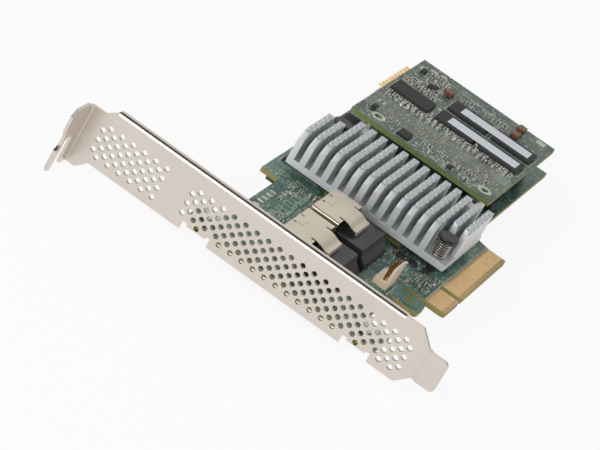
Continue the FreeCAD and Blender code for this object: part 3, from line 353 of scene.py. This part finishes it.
def tinted_plastic(name, tint, second, dull, speck, bump):
    # Moulded or filled plastic: two close tones mottled at the stated grain, in per-metre
    # noise scale, with a light moulded texture.
    made = new_material(name)
    where = add_node(made, "ShaderNodeTexCoord")
    grain = add_node(made, "ShaderNodeTexNoise",
                     {"Vector": where.outputs["Object"], "Scale": speck, "Detail": 4})
    spread = add_node(made, "ShaderNodeMapRange",
                      {"Value": grain.outputs["Fac"], "From Min": 0.3, "From Max": 0.7})
    base = add_node(made, "ShaderNodeMix",
                    {"Factor": spread.outputs[0], "A": colour(tint), "B": colour(second)},
                    data_type="RGBA")
    rough = add_node(made, "ShaderNodeMapRange",
                     {"Value": grain.outputs["Fac"], "To Min": dull - 0.08, "To Max": dull + 0.08})
    relief = add_node(made, "ShaderNodeBump",
                      {"Height": grain.outputs["Fac"], "Strength": bump, "Distance": 0.0001})
    skin = add_node(made, "ShaderNodeBsdfPrincipled",
                    {"Base Color": base.outputs["Result"], "Roughness": rough.outputs[0], "IOR": 1.5,
                     "Normal": relief.outputs[0]})
    return finish_material(made, skin.outputs[0])


def plated_metal(name, tint, second, dull, speck):
    # Plated or soldered metal: a bright satin whose tone drifts a little from spot to spot.
    made = new_material(name)
    where = add_node(made, "ShaderNodeTexCoord")
    cloud = add_node(made, "ShaderNodeTexNoise",
                     {"Vector": where.outputs["Object"], "Scale": speck, "Detail": 3})
    base = add_node(made, "ShaderNodeMix",
                    {"Factor": cloud.outputs["Fac"], "A": colour(tint), "B": colour(second)},
                    data_type="RGBA")
    rough = add_node(made, "ShaderNodeMapRange",
                     {"Value": cloud.outputs["Fac"], "To Min": dull - 0.07, "To Max": dull + 0.1})
    relief = add_node(made, "ShaderNodeBump",
                      {"Height": cloud.outputs["Fac"], "Strength": 0.08, "Distance": 0.0001})
    skin = add_node(made, "ShaderNodeBsdfPrincipled",
                    {"Base Color": base.outputs["Result"], "Metallic": 1.0, "Roughness": rough.outputs[0],
                     "Normal": relief.outputs[0]})
    return finish_material(made, skin.outputs[0])


# Screen-printed epoxy ink is chalky and slightly broken.  Reflowed tin solder over copper is
# a cloudy silver.  Hard gold on the edge fingers is a pale satin.  Bare laminate, resin over
# glass weave where the mask stops, is a dull straw.
printed_ink = tinted_plastic("screen_printed_epoxy_ink", "#D9E0D2", "#B4C2B2", 0.6, 2500, 0.05)
solder_tin = plated_metal("reflowed_tin_solder", "#D8DACE", "#A9ACA2", 0.38, 900)
hard_gold = plated_metal("hard_gold_plating", "#FFDFAE", "#F6CE94", 0.45, 500)
bare_laminate = tinted_plastic("bare_glass_laminate", "#D9B983", "#C9A870", 0.6, 1200, 0.1)
set_material("edge_contacts", hard_gold)


def box_piece(name, low, high):
    """A cube from its lowest to its highest corner, in millimetres, with its place in its mesh."""
    deselect()
    bpy.ops.mesh.primitive_cube_add(size=1)
    piece = bpy.context.object
    piece.name = name
    piece.location = [(a + b) / 2 * MM for a, b in zip(low, high)]
    piece.scale = [(b - a) * MM for a, b in zip(low, high)]
    bpy.ops.object.transform_apply(location=True, rotation=True, scale=True)
    return piece


def pick(piece, kind, wanted):
    """Edit mode with the faces or edges that the test picks; it is given middle and direction, in mm."""
    deselect()
    piece.select_set(True)
    bpy.context.view_layer.objects.active = piece
    bpy.context.tool_settings.mesh_select_mode = (False, kind == "edges", kind == "faces")
    mesh = piece.data
    for group in (mesh.vertices, mesh.edges, mesh.polygons):
        group.foreach_set("select", [False] * len(group))
    if kind == "faces":
        for face in mesh.polygons:
            face.select = wanted(face.center / MM, face.normal)
    else:
        for edge in mesh.edges:
            a, b = (mesh.vertices[i].co for i in edge.vertices)
            edge.select = wanted((a + b) / 2 / MM, (b - a).normalized())
    bpy.ops.object.mode_set(mode="EDIT")


def done(piece, material, slot, *replaced, smooth=True):
    """Leaves edit mode, gives the finish, and fixes the piece to the card."""
    deselect()
    piece.select_set(True)
    bpy.context.view_layer.objects.active = piece
    if smooth:
        bpy.ops.object.shade_smooth_by_angle(angle=math.radians(35))
        flats = piece.modifiers.new("flats", "WEIGHTED_NORMAL")
        flats.keep_sharp = True
        bpy.ops.object.modifier_apply(modifier=flats.name)
    if material:
        piece.data.materials.clear()
        piece.data.materials.append(material)
    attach(piece, "root")
    if replaced:
        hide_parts(*replaced)
    return piece


def copies(source, name, spots):
    """Copies of a small piece, each turned, stretched and set in place in its own mesh, then joined."""
    made = []
    for x, y, z, turn, stretch in spots:
        one = bpy.data.objects.new(name, source.data.copy())
        bpy.context.scene.collection.objects.link(one)
        shape = Matrix.Diagonal((*stretch, 1))
        place = Matrix.Translation(Vector((x, y, z)) * MM)
        one.data.transform(place @ Matrix.Rotation(turn, 4, "Z") @ shape)
        made.append(one)
    deselect()
    for one in made:
        one.select_set(True)
    bpy.context.view_layer.objects.active = made[0]
    bpy.ops.object.join()
    joined = bpy.context.object
    joined.name = name
    return joined


# Printed strokes: one short bar of ink, rounded over along its top, copied for every stroke.
# Ink lies about 0.03 mm thick; it carries no letters, only lines and outlines round parts.
ink_high = 0.03
stroke = box_piece("stroke", (-0.5, -0.5, 0), (0.5, 0.5, ink_high))
pick(stroke, "edges", lambda at, way: at.z > 0.02)
bpy.ops.mesh.bevel(offset=0.012 * MM, segments=1)
deselect()


def bar(x0, y0, x1, y1, wide, z):
    """A stroke from one point to another."""
    long = math.hypot(x1 - x0, y1 - y0) + wide
    return ((x0 + x1) / 2, (y0 + y1) / 2, z, math.atan2(y1 - y0, x1 - x0), (long, wide, 1))


def frame_bars(x0, y0, x1, y1, wide, z):
    """Four strokes round a rectangle."""
    return [bar(x0, y0, x1, y0, wide, z), bar(x1, y0, x1, y1, wide, z),
            bar(x1, y1, x0, y1, wide, z), bar(x0, y1, x0, y0, wide, z)]


dice = random.Random(7)
ink = [bar(43.4, -67.1, 95.2, -67.1, 0.25, 0), bar(32.0, -58.75, 40.6, -58.75, 0.25, 0),
       bar(63.0, -6.4, 71.4, -6.7, 0.25, 0), bar(63.0, -6.4, 62.2, -7.4, 0.25, 0)]
for x in (34, 38, 42, 46, 50):
    ink += frame_bars(x, -26.2, x + 2.2, -23.4, 0.22, 0)
for x in (32, 36.4, 41.8, 47, 50.8):
    ink += frame_bars(x, -21.2, x + 2.6, -18.4, 0.22, 0)
for x, y in ((56.2, -12.5), (55.8, -19), (55.5, -26), (55.6, -34), (55.2, -52), (92.5, -14),
             (93.5, -58), (97, -60)):
    ink += frame_bars(x, y, x + 2.4, y + 3.6, 0.22, 0)
for _ in range(14):
    x, y = dice.uniform(33, 51), dice.uniform(-27, -17)
    ink.append(bar(x, y, x + dice.choice((1.2, 0, 2.2)), y + dice.choice((0, 1.4)), 0.3, 0))
board_ink = copies(stroke, "main_board_print", ink)
done(board_ink, printed_ink, "label_film", smooth=False)


def flat_field(name, low_corner, high_corner, z, corner):
    """A thin patch on a board, as thick as the ink, with its corners rounded."""
    made = box_piece(name, (*low_corner, z), (*high_corner, z + ink_high))
    pick(made, "edges", lambda at, way: abs(way.z) > 0.9)
    bpy.ops.mesh.bevel(offset=corner * MM, segments=2)
    return made


# Bare laminate shows round the fingers, where the mask stops, on both sides of the key slot.
for number, (low_x, high_x) in enumerate(((43.3, 54.8), (56.9, 95.4)), 1):
    field = flat_field("finger_field_%d" % number, (low_x, -74.2), (high_x, -67.4), 0, 0.4)
    done(field, bare_laminate, "green_laminate", smooth=False)

land_high = 0.06


def ring_pad(name, x, y, z, outer, inner):
    """A ring of copper round a hole: a disc with its middle inset and cut away."""
    deselect()
    bpy.ops.mesh.primitive_cylinder_add(vertices=32, radius=outer / 2 * MM, depth=land_high * MM)
    made = bpy.context.object
    made.name = name
    pick(made, "faces", lambda at, way: abs(way.z) > 0.9)
    bpy.ops.mesh.inset(thickness=(outer - inner) / 2 * MM, use_individual=True)
    bpy.ops.mesh.bridge_edge_loops()
    deselect()
    made.data.transform(Matrix.Translation(Vector((x, y, z + land_high / 2)) * MM))
    return made


# The foot hole's land lies under the mask; a tinned aiming dot and an ink ring stand alone.
masked_land = tinted_plastic("mask_over_copper_land", "#648F74", "#4C7A60", 0.35, 1500, 0.05)
for number, (x, y, outer, inner, finish) in enumerate(
        ((37.7, -64.2, 5.6, 3.0, masked_land), (49.8, -18.1, 2.6, 1.1, solder_tin),
         (85.0, -65.9, 1.7, 0.9, printed_ink)), 1):
    done(ring_pad("board_ring_%d" % number, x, y, 0, outer, inner), finish, "solder_tin")

# ------------------------------------------------------------------ small surface-mount parts
# Ceramic capacitors and film resistors: fired blocks with tinned ends, reflow soldered in
# rows.  One part is made for each kind and copied along the rows of the two boards.
# Fired ceramic is a matt brown, glazed film a dark gloss, and the tinned ends are bright.
fired_ceramic = tinted_plastic("fired_ceramic", "#6E6359", "#463F3A", 0.5, 1500, 0.1)
film_resistor = tinted_plastic("glazed_resistor_film", "#2B2C2E", "#3C3D3F", 0.35, 1500, 0.05)
bright_solder = plated_metal("tinned_part_ends", "#F0EFE8", "#C4C3BB", 0.36, 1500)


def chip_part(name, long, wide, high, body):
    """A block cut in three along its length, with its tinned ends a little proud."""
    made = box_piece(name, (-long / 2, -wide / 2, 0), (long / 2, wide / 2, high))
    made.data.materials.append(body)
    made.data.materials.append(bright_solder)
    for cut in (-0.2 * long, 0.2 * long):
        pick(made, "faces", lambda at, way: True)
        bpy.ops.mesh.bisect(plane_co=(cut * MM, 0, 0), plane_no=(1, 0, 0))
    pick(made, "faces", lambda at, way: abs(at.x) > 0.21 * long and way.z > -0.5)
    bpy.context.object.active_material_index = 1
    bpy.ops.object.material_slot_assign()
    bpy.ops.transform.resize(value=(1.0, 1.12, 1.08), center_override=(0, 0, 0))
    pick(made, "edges", lambda at, way: at.z > high * 0.99 and abs(way.z) < 0.5)
    bpy.ops.mesh.bevel(offset=0.08 * high * MM, segments=1)
    deselect()
    return made


capacitor = chip_part("capacitor", 1.3, 0.75, 0.6, fired_ceramic)
resistor = chip_part("resistor", 1.2, 0.65, 0.4, film_resistor)
large_capacitor = chip_part("large_capacitor", 2.2, 1.4, 1.0, fired_ceramic)


def some_stretch():
    """A length and a width, since the parts in a row are of several sizes."""
    return dice.uniform(0.75, 1.2), dice.uniform(0.75, 1.3), 1


def row_of(x0, y0, x1, y1, pitch, z, turned, keep):
    """Places along a rough line; a share is left empty, as unfitted pads are."""
    length = math.hypot(x1 - x0, y1 - y0)
    places = []
    for at in range(int(length / pitch) + 1):
        share = at * pitch / length
        if dice.random() < keep:
            x = x0 + (x1 - x0) * share + dice.uniform(-0.3, 0.3)
            y = y0 + (y1 - y0) * share + dice.uniform(-0.3, 0.3)
            quarter = turned if dice.random() < 0.75 else 1 - turned
            places.append((x, y, z, math.pi / 2 * quarter, some_stretch()))
    return places


def cluster(x0, y0, x1, y1, count, z):
    """Places scattered over a rectangle, squared up to the board."""
    return [(dice.uniform(x0, x1), dice.uniform(y0, y1), z, math.pi / 2 * dice.choice((0, 1)),
             some_stretch()) for _ in range(count)]


on_board = {"capacitor": [], "resistor": [], "large_capacitor": []}
for x, first, last in ((53.8, -12, -57), (57.6, -24, -56), (92.0, -12, -62), (95.2, -12, -60),
                       (98.4, -12, -61), (101.3, -14, -60)):
    on_board["capacitor"] += row_of(x, first, x, last, 2.3, 0, 1, 0.6)
    on_board["resistor"] += row_of(x + 1.3, first - 1, x + 1.3, last + 1, 2.1, 0,
                                   dice.choice((0, 1)), 0.5)
for y in (-17.0, -22.4, -24.9):
    on_board["resistor"] += row_of(31.5, y, 52, y, 2.6, 0, 0, 0.55)
for y in (-19.8, -27.2):
    on_board["capacitor"] += row_of(33, y, 52, y, 3.1, 0, 1, 0.5)
for y in (-59.5, -61.4, -63.2, -65.2):
    on_board["capacitor"] += row_of(46.5, y, 58.5, y, 1.9, 0, 1, 0.6)
    on_board["resistor"] += row_of(47.4, y - 0.9, 58, y - 0.9, 2.3, 0, 0, 0.4)
on_board["capacitor"] += cluster(54.5, -58.5, 61, -50.5, 16, 0)
on_board["resistor"] += cluster(54, -58, 61, -50, 26, 0) + cluster(54.5, -49, 58.5, -44, 9, 0)
on_board["large_capacitor"] += [(x, y, 0, turn, (1, 1, 1)) for x, y, turn in (
    (20.5, -54.0, 0), (24.4, -54.2, 0), (54.4, -22.5, 1.571), (152, -56.4, 0), (113, -11.4, 0),
    (116.5, -11.6, 0))]
for part, kind in ((capacitor, "capacitor"), (resistor, "resistor"),
                   (large_capacitor, "large_capacitor")):
    done(copies(part, "main_board_%ss" % kind, on_board[kind]), None, "ceramic_part", smooth=False)
set_material("chip_resistors", bright_solder)

package_high = 0.9


def small_package(name, x, y, wide, deep, z):
    """A low moulded package with its top edges chamfered."""
    made = box_piece(name, (x - wide / 2, y - deep / 2, z),
                     (x + wide / 2, y + deep / 2, z + package_high))
    pick(made, "edges", lambda at, way: at.z > z + package_high - 0.1)
    bpy.ops.mesh.bevel(offset=0.15 * MM, segments=1)
    return made


# Three low near-black packages under the heat sink's front edge: moulded parts, but their dark bodies are
# also painted shade, standing in for the shadow beneath the sink's front.
for number, (x, y, wide) in enumerate(((56.6, -52.6, 2.6), (56.9, -56.4, 2.8), (57.3, -61.0, 2.4)), 1):
    done(small_package("package_with_painted_shade_%d" % number, x, y, wide, wide, 0), film_resistor, "chip_plastic",
         smooth=False)

# Tinned pads with nothing fitted, and test points, near the cages, beside the heat sink and
# along the fingers.
tin_pads = []
for x, y in ((34, -21), (37.4, -22), (44, -16.4), (46.8, -16.2), (41, -25), (52, -15.4), (31, -18.6)):
    tin_pads += [(x, y, 0, 0, (1.3, 0.9, 1)), (x + 2.0, y, 0, 0, (1.3, 0.9, 1))]
for _ in range(70):
    tin_pads.append((dice.uniform(53.4, 58.2), dice.uniform(-27, -9), 0, 0, (0.6, 0.6, 1)))
for _ in range(30):
    tin_pads.append((dice.uniform(44, 58), dice.uniform(-66.4, -50.5), 0, 0, (0.6, 0.9, 1)))
done(copies(stroke, "main_board_tin_pads", tin_pads), solder_tin, "solder_tin", smooth=False)

# ------------------------------------------------------------------ chips on the main board
# Moulded epoxy packages, matt charcoal with a faint sand texture from the mould; the flash
# memory has a row of tinned leads at each end.  The controller is a laminate package under a
# satin plated lid, with a grey smear of compound between it and the heat sink.
moulded_epoxy = tinted_plastic("moulded_epoxy", "#242526", "#2F3031", 0.62, 3000, 0.12)
set_material("controller_substrate",
             tinted_plastic("olive_mask_on_package_laminate", "#77763E", "#5E6034", 0.4, 1200, 0.05))
for name in ("flash_memory", "rear_flash_chip", "power_inductor"):
    set_material(name, moulded_epoxy)
set_material("controller_lid", plated_metal("nickel_plated_copper_lid", "#C9C6BE", "#B5B1A8", 0.3, 400))
set_material("thermal_pad", tinted_plastic("thermal_compound", "#B7B9BC", "#A6A8AB", 0.7, 800, 0.1))
set_material("flash_leads", solder_tin)
set_material("under_capacitor",
             tinted_plastic("moulded_tantalum_case", "#33291F", "#463726", 0.45, 900, 0.1))

# ------------------------------------------------------------------ heat sink
# Die-cast aluminium, bead blasted to an even pale matt: a flat base and fifteen fins, each a
# chain of rounded lobes with a shallow groove between, cut back where the push pins stand.
blasted_aluminium = plated_metal("bead_blasted_aluminium", "#E6E9EA", "#D6D8DA", 0.62, 2500)
low, high = (Vector(v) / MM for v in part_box("heat_sink"))
sink_top = high.z
base_thick = 2.0
base_top = low.z + base_thick
base = box_piece("heat_sink_base", (low.x + 0.01, low.y, low.z), (high.x, high.y, base_top))
pick(base, "edges", lambda at, way: abs(way.z) > 0.9)
bpy.ops.mesh.bevel(offset=0.35 * MM, segments=2)
pick(base, "edges", lambda at, way: at.z > base_top - 0.1 and abs(way.z) < 0.1)
bpy.ops.mesh.bevel(offset=0.15 * MM, segments=2)
deselect()

fin_count, fin_pitch, fin_thick = 15, 3.83, 2.1
lobe_count, into_base = 8, 0.3
fin_end = high.x - 1.8
lobe_long = (fin_end - low.x) / lobe_count
lobe = box_piece("lobe", (-lobe_long / 2 - 0.1, -fin_thick / 2, base_top - into_base),
                 (lobe_long / 2 + 0.1, fin_thick / 2, sink_top))
pick(lobe, "edges", lambda at, way: abs(way.z) > 0.9)
bpy.ops.mesh.bevel(offset=0.5 * MM, segments=1)
pick(lobe, "edges", lambda at, way: at.z > sink_top - 0.1 and abs(way.y) > 0.9)
bpy.ops.mesh.bevel(offset=1.1 * MM, segments=3)
pick(lobe, "edges", lambda at, way: at.z > sink_top - 1.2 and abs(way.z) < 0.9 and abs(at.y) > 0.5)
bpy.ops.mesh.bevel(offset=0.6 * MM, segments=2)
deselect()
# The last lobe's foot runs on nearly to the base's far edge.
end_lobe = lobe.copy()
end_lobe.data = lobe.data.copy()
bpy.context.scene.collection.objects.link(end_lobe)
pick(end_lobe, "faces", lambda at, way: at.z < base_top + 1.5 and way.x > 0.3)
bpy.ops.transform.translate(value=(1.5 * MM, 0, 0))
deselect()
# The first lobe's front is flat, level with the base's, and slopes back over its top.
front_lobe = box_piece("front_lobe", (-lobe_long / 2, -fin_thick / 2, base_top - into_base),
                       (lobe_long / 2 + 0.1, fin_thick / 2, sink_top))
pick(front_lobe, "edges", lambda at, way: at.z > sink_top - 0.1 and at.x < 0 and abs(way.y) > 0.9)
bpy.ops.mesh.bevel(offset=2.3 * MM, segments=1)
pick(front_lobe, "edges", lambda at, way: at.z > sink_top - 2.2 and abs(way.z) < 0.9)
bpy.ops.mesh.bevel(offset=0.5 * MM, segments=2)
pick(front_lobe, "edges", lambda at, way: abs(way.z) > 0.9)
bpy.ops.mesh.bevel(offset=0.15 * MM, segments=1)
deselect()
# Two fins at each side are cut short, for the far pin at their end or the near pin at their
# start; the lobes of a short fin are evened out over its length.
fins_cut, far_pin_stop, near_pin_start = 2, 79.3, 66.5
plain, front, end = [], [], []
for fin in range(fin_count):
    y = high.y - fin_thick / 2 - fin * fin_pitch
    by_far_pin, by_near_pin = fin < fins_cut, fin >= fin_count - fins_cut
    first = near_pin_start if by_near_pin else low.x
    last = far_pin_stop if by_far_pin else fin_end
    count = round((last - first) / lobe_long)
    long = (last - first) / count
    for at in range(count):
        spot = (first + (at + 0.5) * long, y, 0, 0, (long / lobe_long, 1, 1))
        if at == 0 and not by_near_pin:
            front.append(spot)
        elif at == count - 1 and not by_far_pin:
            end.append(spot)
        else:
            plain.append(spot)
fins = [copies(lobe, "fins", plain), copies(front_lobe, "fin_fronts", front),
        copies(end_lobe, "fin_ends", end)]
# A low web joins two fins beside each pin's clearing.
web_start, web_high = 84.0, 8.0
webs = []
for fin in (2, 12):
    y = high.y - fin * fin_pitch - fin_thick / 2
    web = box_piece("web", (web_start, y - fin_pitch, base_top - 0.2), (fin_end, y, base_top + web_high))
    pick(web, "edges", lambda at, way: at.z > base_top + web_high - 0.1)
    bpy.ops.mesh.bevel(offset=0.3 * MM, segments=2)
    deselect()
    webs.append(web)
deselect()
for piece in [base] + fins + webs:
    piece.select_set(True)
bpy.context.view_layer.objects.active = base
bpy.ops.object.join()
base.name = "heat_sink_casting"
done(base, blasted_aluminium, "cast_aluminium", "heat_sink")

# ------------------------------------------------------------------ push pins and springs
# Two moulded nylon pins with a coned barb under the board, each through a coil spring of
# drawn stainless wire that presses the heat sink down.  The nylon is a soft black gloss and
# the wire a bright silver.
black_nylon = tinted_plastic("moulded_black_nylon", "#1B1B1D", "#29292B", 0.4, 900, 0.08)
spring_wire = plated_metal("drawn_stainless_wire", "#C9C5BB", "#9C978D", 0.3, 1500)


def softened(name, source, width, segments=2):
    """A copy of a CAD node with its doubles merged, its flats made whole and its edges rounded."""
    made = bpy.data.objects.new(name, node[source].data.copy())
    bpy.context.scene.collection.objects.link(made)
    made.data.materials.clear()
    pick(made, "faces", lambda at, way: True)
    bpy.ops.mesh.remove_doubles(threshold=0.001 * MM)
    bpy.ops.mesh.dissolve_limited(angle_limit=math.radians(1))
    deselect()
    bevel = made.modifiers.new("rounding", "BEVEL")
    bevel.width = width * MM
    bevel.segments = segments
    bevel.limit_method = "ANGLE"
    bevel.angle_limit = math.radians(40)
    made.select_set(True)
    bpy.context.view_layer.objects.active = made
    bpy.ops.object.modifier_apply(modifier=bevel.name)
    return made


turns, wire = 7, 0.42
for number in (1, 2):
    done(softened("push_pin_body_%d" % number, "push_pin_%d" % number, 0.18), black_nylon,
         "black_plastic", "push_pin_%d" % number)
    low, high = (Vector(v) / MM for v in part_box("push_pin_spring_%d" % number))
    middle = (low + high) / 2
    deselect()
    bpy.ops.mesh.primitive_circle_add(vertices=10, radius=wire / 2 * MM, rotation=(math.pi / 2, 0, 0))
    spring = bpy.context.object
    spring.name = "spring_coil_%d" % number
    spring.location = ((high.x - low.x) / 2 * MM - wire / 2 * MM, 0, 0)
    bpy.ops.object.transform_apply(location=True, rotation=True, scale=True)
    wound = spring.modifiers.new("winding", "SCREW")
    wound.angle = 2 * math.pi
    wound.iterations = turns
    wound.screw_offset = (high.z - low.z - wire) / turns * MM
    wound.steps = wound.render_steps = 24
    bpy.ops.object.modifier_apply(modifier=wound.name)
    pick(spring, "edges", lambda at, way: False)
    bpy.ops.mesh.select_non_manifold(extend=False)
    bpy.ops.mesh.edge_face_add()
    bpy.ops.mesh.select_all(action="SELECT")
    bpy.ops.mesh.remove_doubles(threshold=0.001 * MM)
    bpy.ops.mesh.normals_make_consistent(inside=False)
    deselect()
    spring.data.transform(Matrix.Translation(Vector((middle.x, middle.y, low.z + wire / 2)) * MM))
    done(spring, spring_wire, "spring_steel", "push_pin_spring_%d" % number)

# ------------------------------------------------------------------ internal cable receptacles
# A folded sheet cage with a sprung tongue over a black moulded body, which is pressed on the
# board from above.  Nickel gives the cage a warm satin; the mould leaves the body rounded
# edges and a fine spark-eroded matt.
cage_steel = plated_steel("nickel_plated_cage_steel", "#DED3C0", 0.36)
glass_filled = tinted_plastic("glass_filled_nylon", "#232327", "#303035", 0.4, 2600, 0.12)
for number in (1, 2):
    done(softened("cage_%d" % number, "sas_cage_%d" % number, 0.12), cage_steel, "nickel_steel",
         "sas_cage_%d" % number)
    done(softened("receptacle_body_%d" % number, "sas_housing_%d" % number, 0.2), glass_filled,
         "black_plastic", "sas_housing_%d" % number)

# ------------------------------------------------------------------ friction-lock header
# Unfilled nylon base with a thin lock wall, moulded in one and pushed on the board with its
# three square brass posts.  The nylon is a soft waxy cream, and the posts' gold flash is dull.
cream_nylon = tinted_plastic("cream_nylon", "#F6E4C8", "#EDD6B4", 0.45, 700, 0.08)
done(softened("header_body", "fan_header", 0.2), cream_nylon, "cream_plastic", "fan_header")
set_material("header_pins", plated_metal("gold_flashed_brass_post", "#B98C52", "#8A6236", 0.35, 500))

# ------------------------------------------------------------------ connectors and spacers
# The cache card plugs in along its far side and stands on two turned brass spacers at its
# near corners, held by screws from below.  The connector halves and the side header are
# moulded of the receptacles' black nylon, and the side posts are gold plated.
for name in ("link_socket", "link_plug", "side_header"):
    done(softened(name + "_body", name, 0.15), glass_filled, "black_plastic", name)
set_material("side_header_pins", hard_gold)
set_material("cache_spacers", plated_metal("nickel_plated_brass", "#CFCBBB", "#B5B09C", 0.3, 500))
set_material("cache_screws", zinc_steel)

# ------------------------------------------------------------------ cache memory card
# A second laminate card, its routing dense under an olive mask, with printed outlines, rows
# of small parts, unfitted pads, and bare tinned rings at its near corners.
set_material("cache_board",
             masked_laminate("olive_mask_on_glass_laminate", "#2F443A", "#465B4D", "#8C9A86", 0.55,
                             ("#7F8A58", "#66743F"), (118, 6)))
low, high = (Vector(v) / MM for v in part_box("cache_board"))
card = high.z
ink = [bar(161.2, -19.6, 158.8, -43.7, 0.25, card), bar(161.2, -19.6, 152, -20.6, 0.22, card)]
for x0, y0, x1, y1 in ((130.0, -59.0, 139.6, -43.4), (130.0, -42.4, 139.6, -26.8),
                       (130.0, -25.4, 139.6, -10.0), (141.8, -59.0, 151.4, -43.4),
                       (141.8, -42.4, 151.4, -26.8), (104.4, -29.2, 110.8, -23.8)):
    ink += frame_bars(x0, y0, x1, y1, 0.22, card)
for _ in range(30):
    x, y = dice.uniform(142, 160), dice.uniform(-24, -11)
    ink.append(bar(x, y, x + dice.choice((1.5, 0)), y + dice.choice((0, 1.5)), 0.28, card))
for _ in range(60):
    x = dice.choice((dice.uniform(104, 110), dice.uniform(125, 129.6), dice.uniform(152, 163)))
    y = dice.uniform(-58, -12)
    ink.append(bar(x, y, x + dice.choice((1.3, 0)), y + dice.choice((0, 1.3)), 0.26, card))
done(copies(stroke, "cache_card_print", ink), printed_ink, "label_film", smooth=False)
for number, (x, y) in enumerate(((108.2, -16.6), (108.2, -55.8)), 1):
    done(ring_pad("card_ring_%d" % number, x, y, card, 4.9, 2.6), solder_tin, "solder_tin")

small = {"capacitor": [], "resistor": []}
for x, keep in ((125.6, 0.6), (127.4, 0.75), (128.9, 0.7), (106.2, 0.3), (109.6, 0.35), (111.4, 0.4)):
    first, last = (-12, -58) if x > 120 else (-30.4, -52.6)
    small["capacitor"] += row_of(x, first, x, last, 1.9, card, dice.choice((0, 1)), keep)
    small["resistor"] += row_of(x + 0.9, first - 0.8, x + 0.9, last, 2.6, card,
                                dice.choice((0, 1)), keep * 0.7)
for x in (142.5, 145, 147.6, 152.8, 155.4, 158.2):
    small["capacitor"] += row_of(x, -11, x, -22, 2.2, card, dice.choice((0, 1)), 0.65)
    small["resistor"] += row_of(x + 1.3, -12, x + 1.3, -22, 2.2, card, dice.choice((0, 1)), 0.6)
for x in (152.8, 155.2, 157.4):
    small["capacitor"] += row_of(x, -29, x, -45, 2.4, card, 1, 0.25)
    small["resistor"] += row_of(x + 1.1, -30, x + 1.1, -45, 2.4, card, 0, 0.3)
for y in (-26.2, -43.0):
    small["capacitor"] += row_of(131, y, 138.6, y, 1.8, card, 0, 0.7)
small["resistor"] += cluster(111.5, -24, 113, -11.5, 3, card) + cluster(106, -38.5, 110, -35, 6, card)
small["resistor"] += cluster(105, -45, 108.5, -42, 4, card) + cluster(113, -56, 118, -46, 6, card)
tin_pads = cluster(105, -57, 112.5, -30, 30, card) + cluster(124.6, -58.5, 130, -11, 70, card) \
    + cluster(141, -24, 162, -11, 45, card) + cluster(152, -58, 163, -26, 18, card)
tin_pads = [(x, y, z, turn, (wide * 0.7, deep * 0.6, 1)) for x, y, z, turn, (wide, deep, _) in tin_pads]
tin_pads += [(161.6, -14.6, card, 0, (1.8, 2.6, 1)), (162.6, -18.0, card, 0, (1.8, 2.2, 1)),
             (162.9, -55.4, card, 0, (3.0, 3.2, 1)), (118.7, -14.1, card, 0, (2.4, 0.6, 1)),
             (118.7, -12.3, card, 0, (2.4, 0.6, 1))]
done(copies(stroke, "card_tin_pads", tin_pads), solder_tin, "solder_tin", smooth=False)
for name, x, y, wide, deep in (
        ("card_transistor", 112.1, -13.4, 2.6, 1.6), ("card_converter", 149.7, -18.8, 2.8, 2.8),
        ("card_diode", 156.4, -12.6, 2.8, 1.8), ("card_switch", 106.6, -43.4, 2.2, 1.4)):
    done(small_package(name, x, y, wide, deep, card), moulded_epoxy, "chip_plastic", smooth=False)
# A plain pour of copper under the mask makes a paler field where nothing is fitted.
done(flat_field("card_blank_field", (119, -59.2), (126, -54.2), card, 0.3),
     tinted_plastic("mask_over_shield_pour", "#869C8C", "#728A7A", 0.4, 1500, 0.05), "label_film",
     smooth=False)
done(copies(capacitor, "card_capacitors", small["capacitor"]), None, "ceramic_part", smooth=False)
done(copies(resistor, "card_resistors", small["resistor"]), None, "ceramic_part", smooth=False)

# ------------------------------------------------------------------ packages, strips and beads
# Memory packages and a regulator, moulded in epoxy with square edges and a faint chamfer; two
# blank polyester strips stuck across the memory; tantalum capacitors in a moulded amber shell.
for number in range(1, 6):
    done(softened("memory_package_%d" % number, "memory_chip_%d" % number, 0.1, 1), moulded_epoxy,
         "chip_plastic", "memory_chip_%d" % number, smooth=False)
done(softened("regulator_package", "regulator_chip", 0.1, 1), moulded_epoxy, "chip_plastic",
     "regulator_chip", smooth=False)
film = tinted_plastic("polyester_label_film", "#E9EDF2", "#DDE2E8", 0.42, 1800, 0.03)
for number in (1, 2):
    done(softened("label_film_%d" % number, "label_strip_%d" % number, 0.05, 1), film, "label_film",
         "label_strip_%d" % number, smooth=False)
# The strips' coated film is a cold satin white, and the shells are a glossy red-brown.
amber_shell = tinted_plastic("tantalum_bead_shell", "#7C4A30", "#5A3A2A", 0.35, 900, 0.08)
done(softened("tantalum_beads", "tantalum_capacitors", 0.2), amber_shell, "tantalum_shell",
     "tantalum_capacitors")

# The single parts that were copied have done their work.
for part in (stroke, capacitor, resistor, large_capacitor, lobe, front_lobe, end_lobe):
    bpy.data.objects.remove(part)
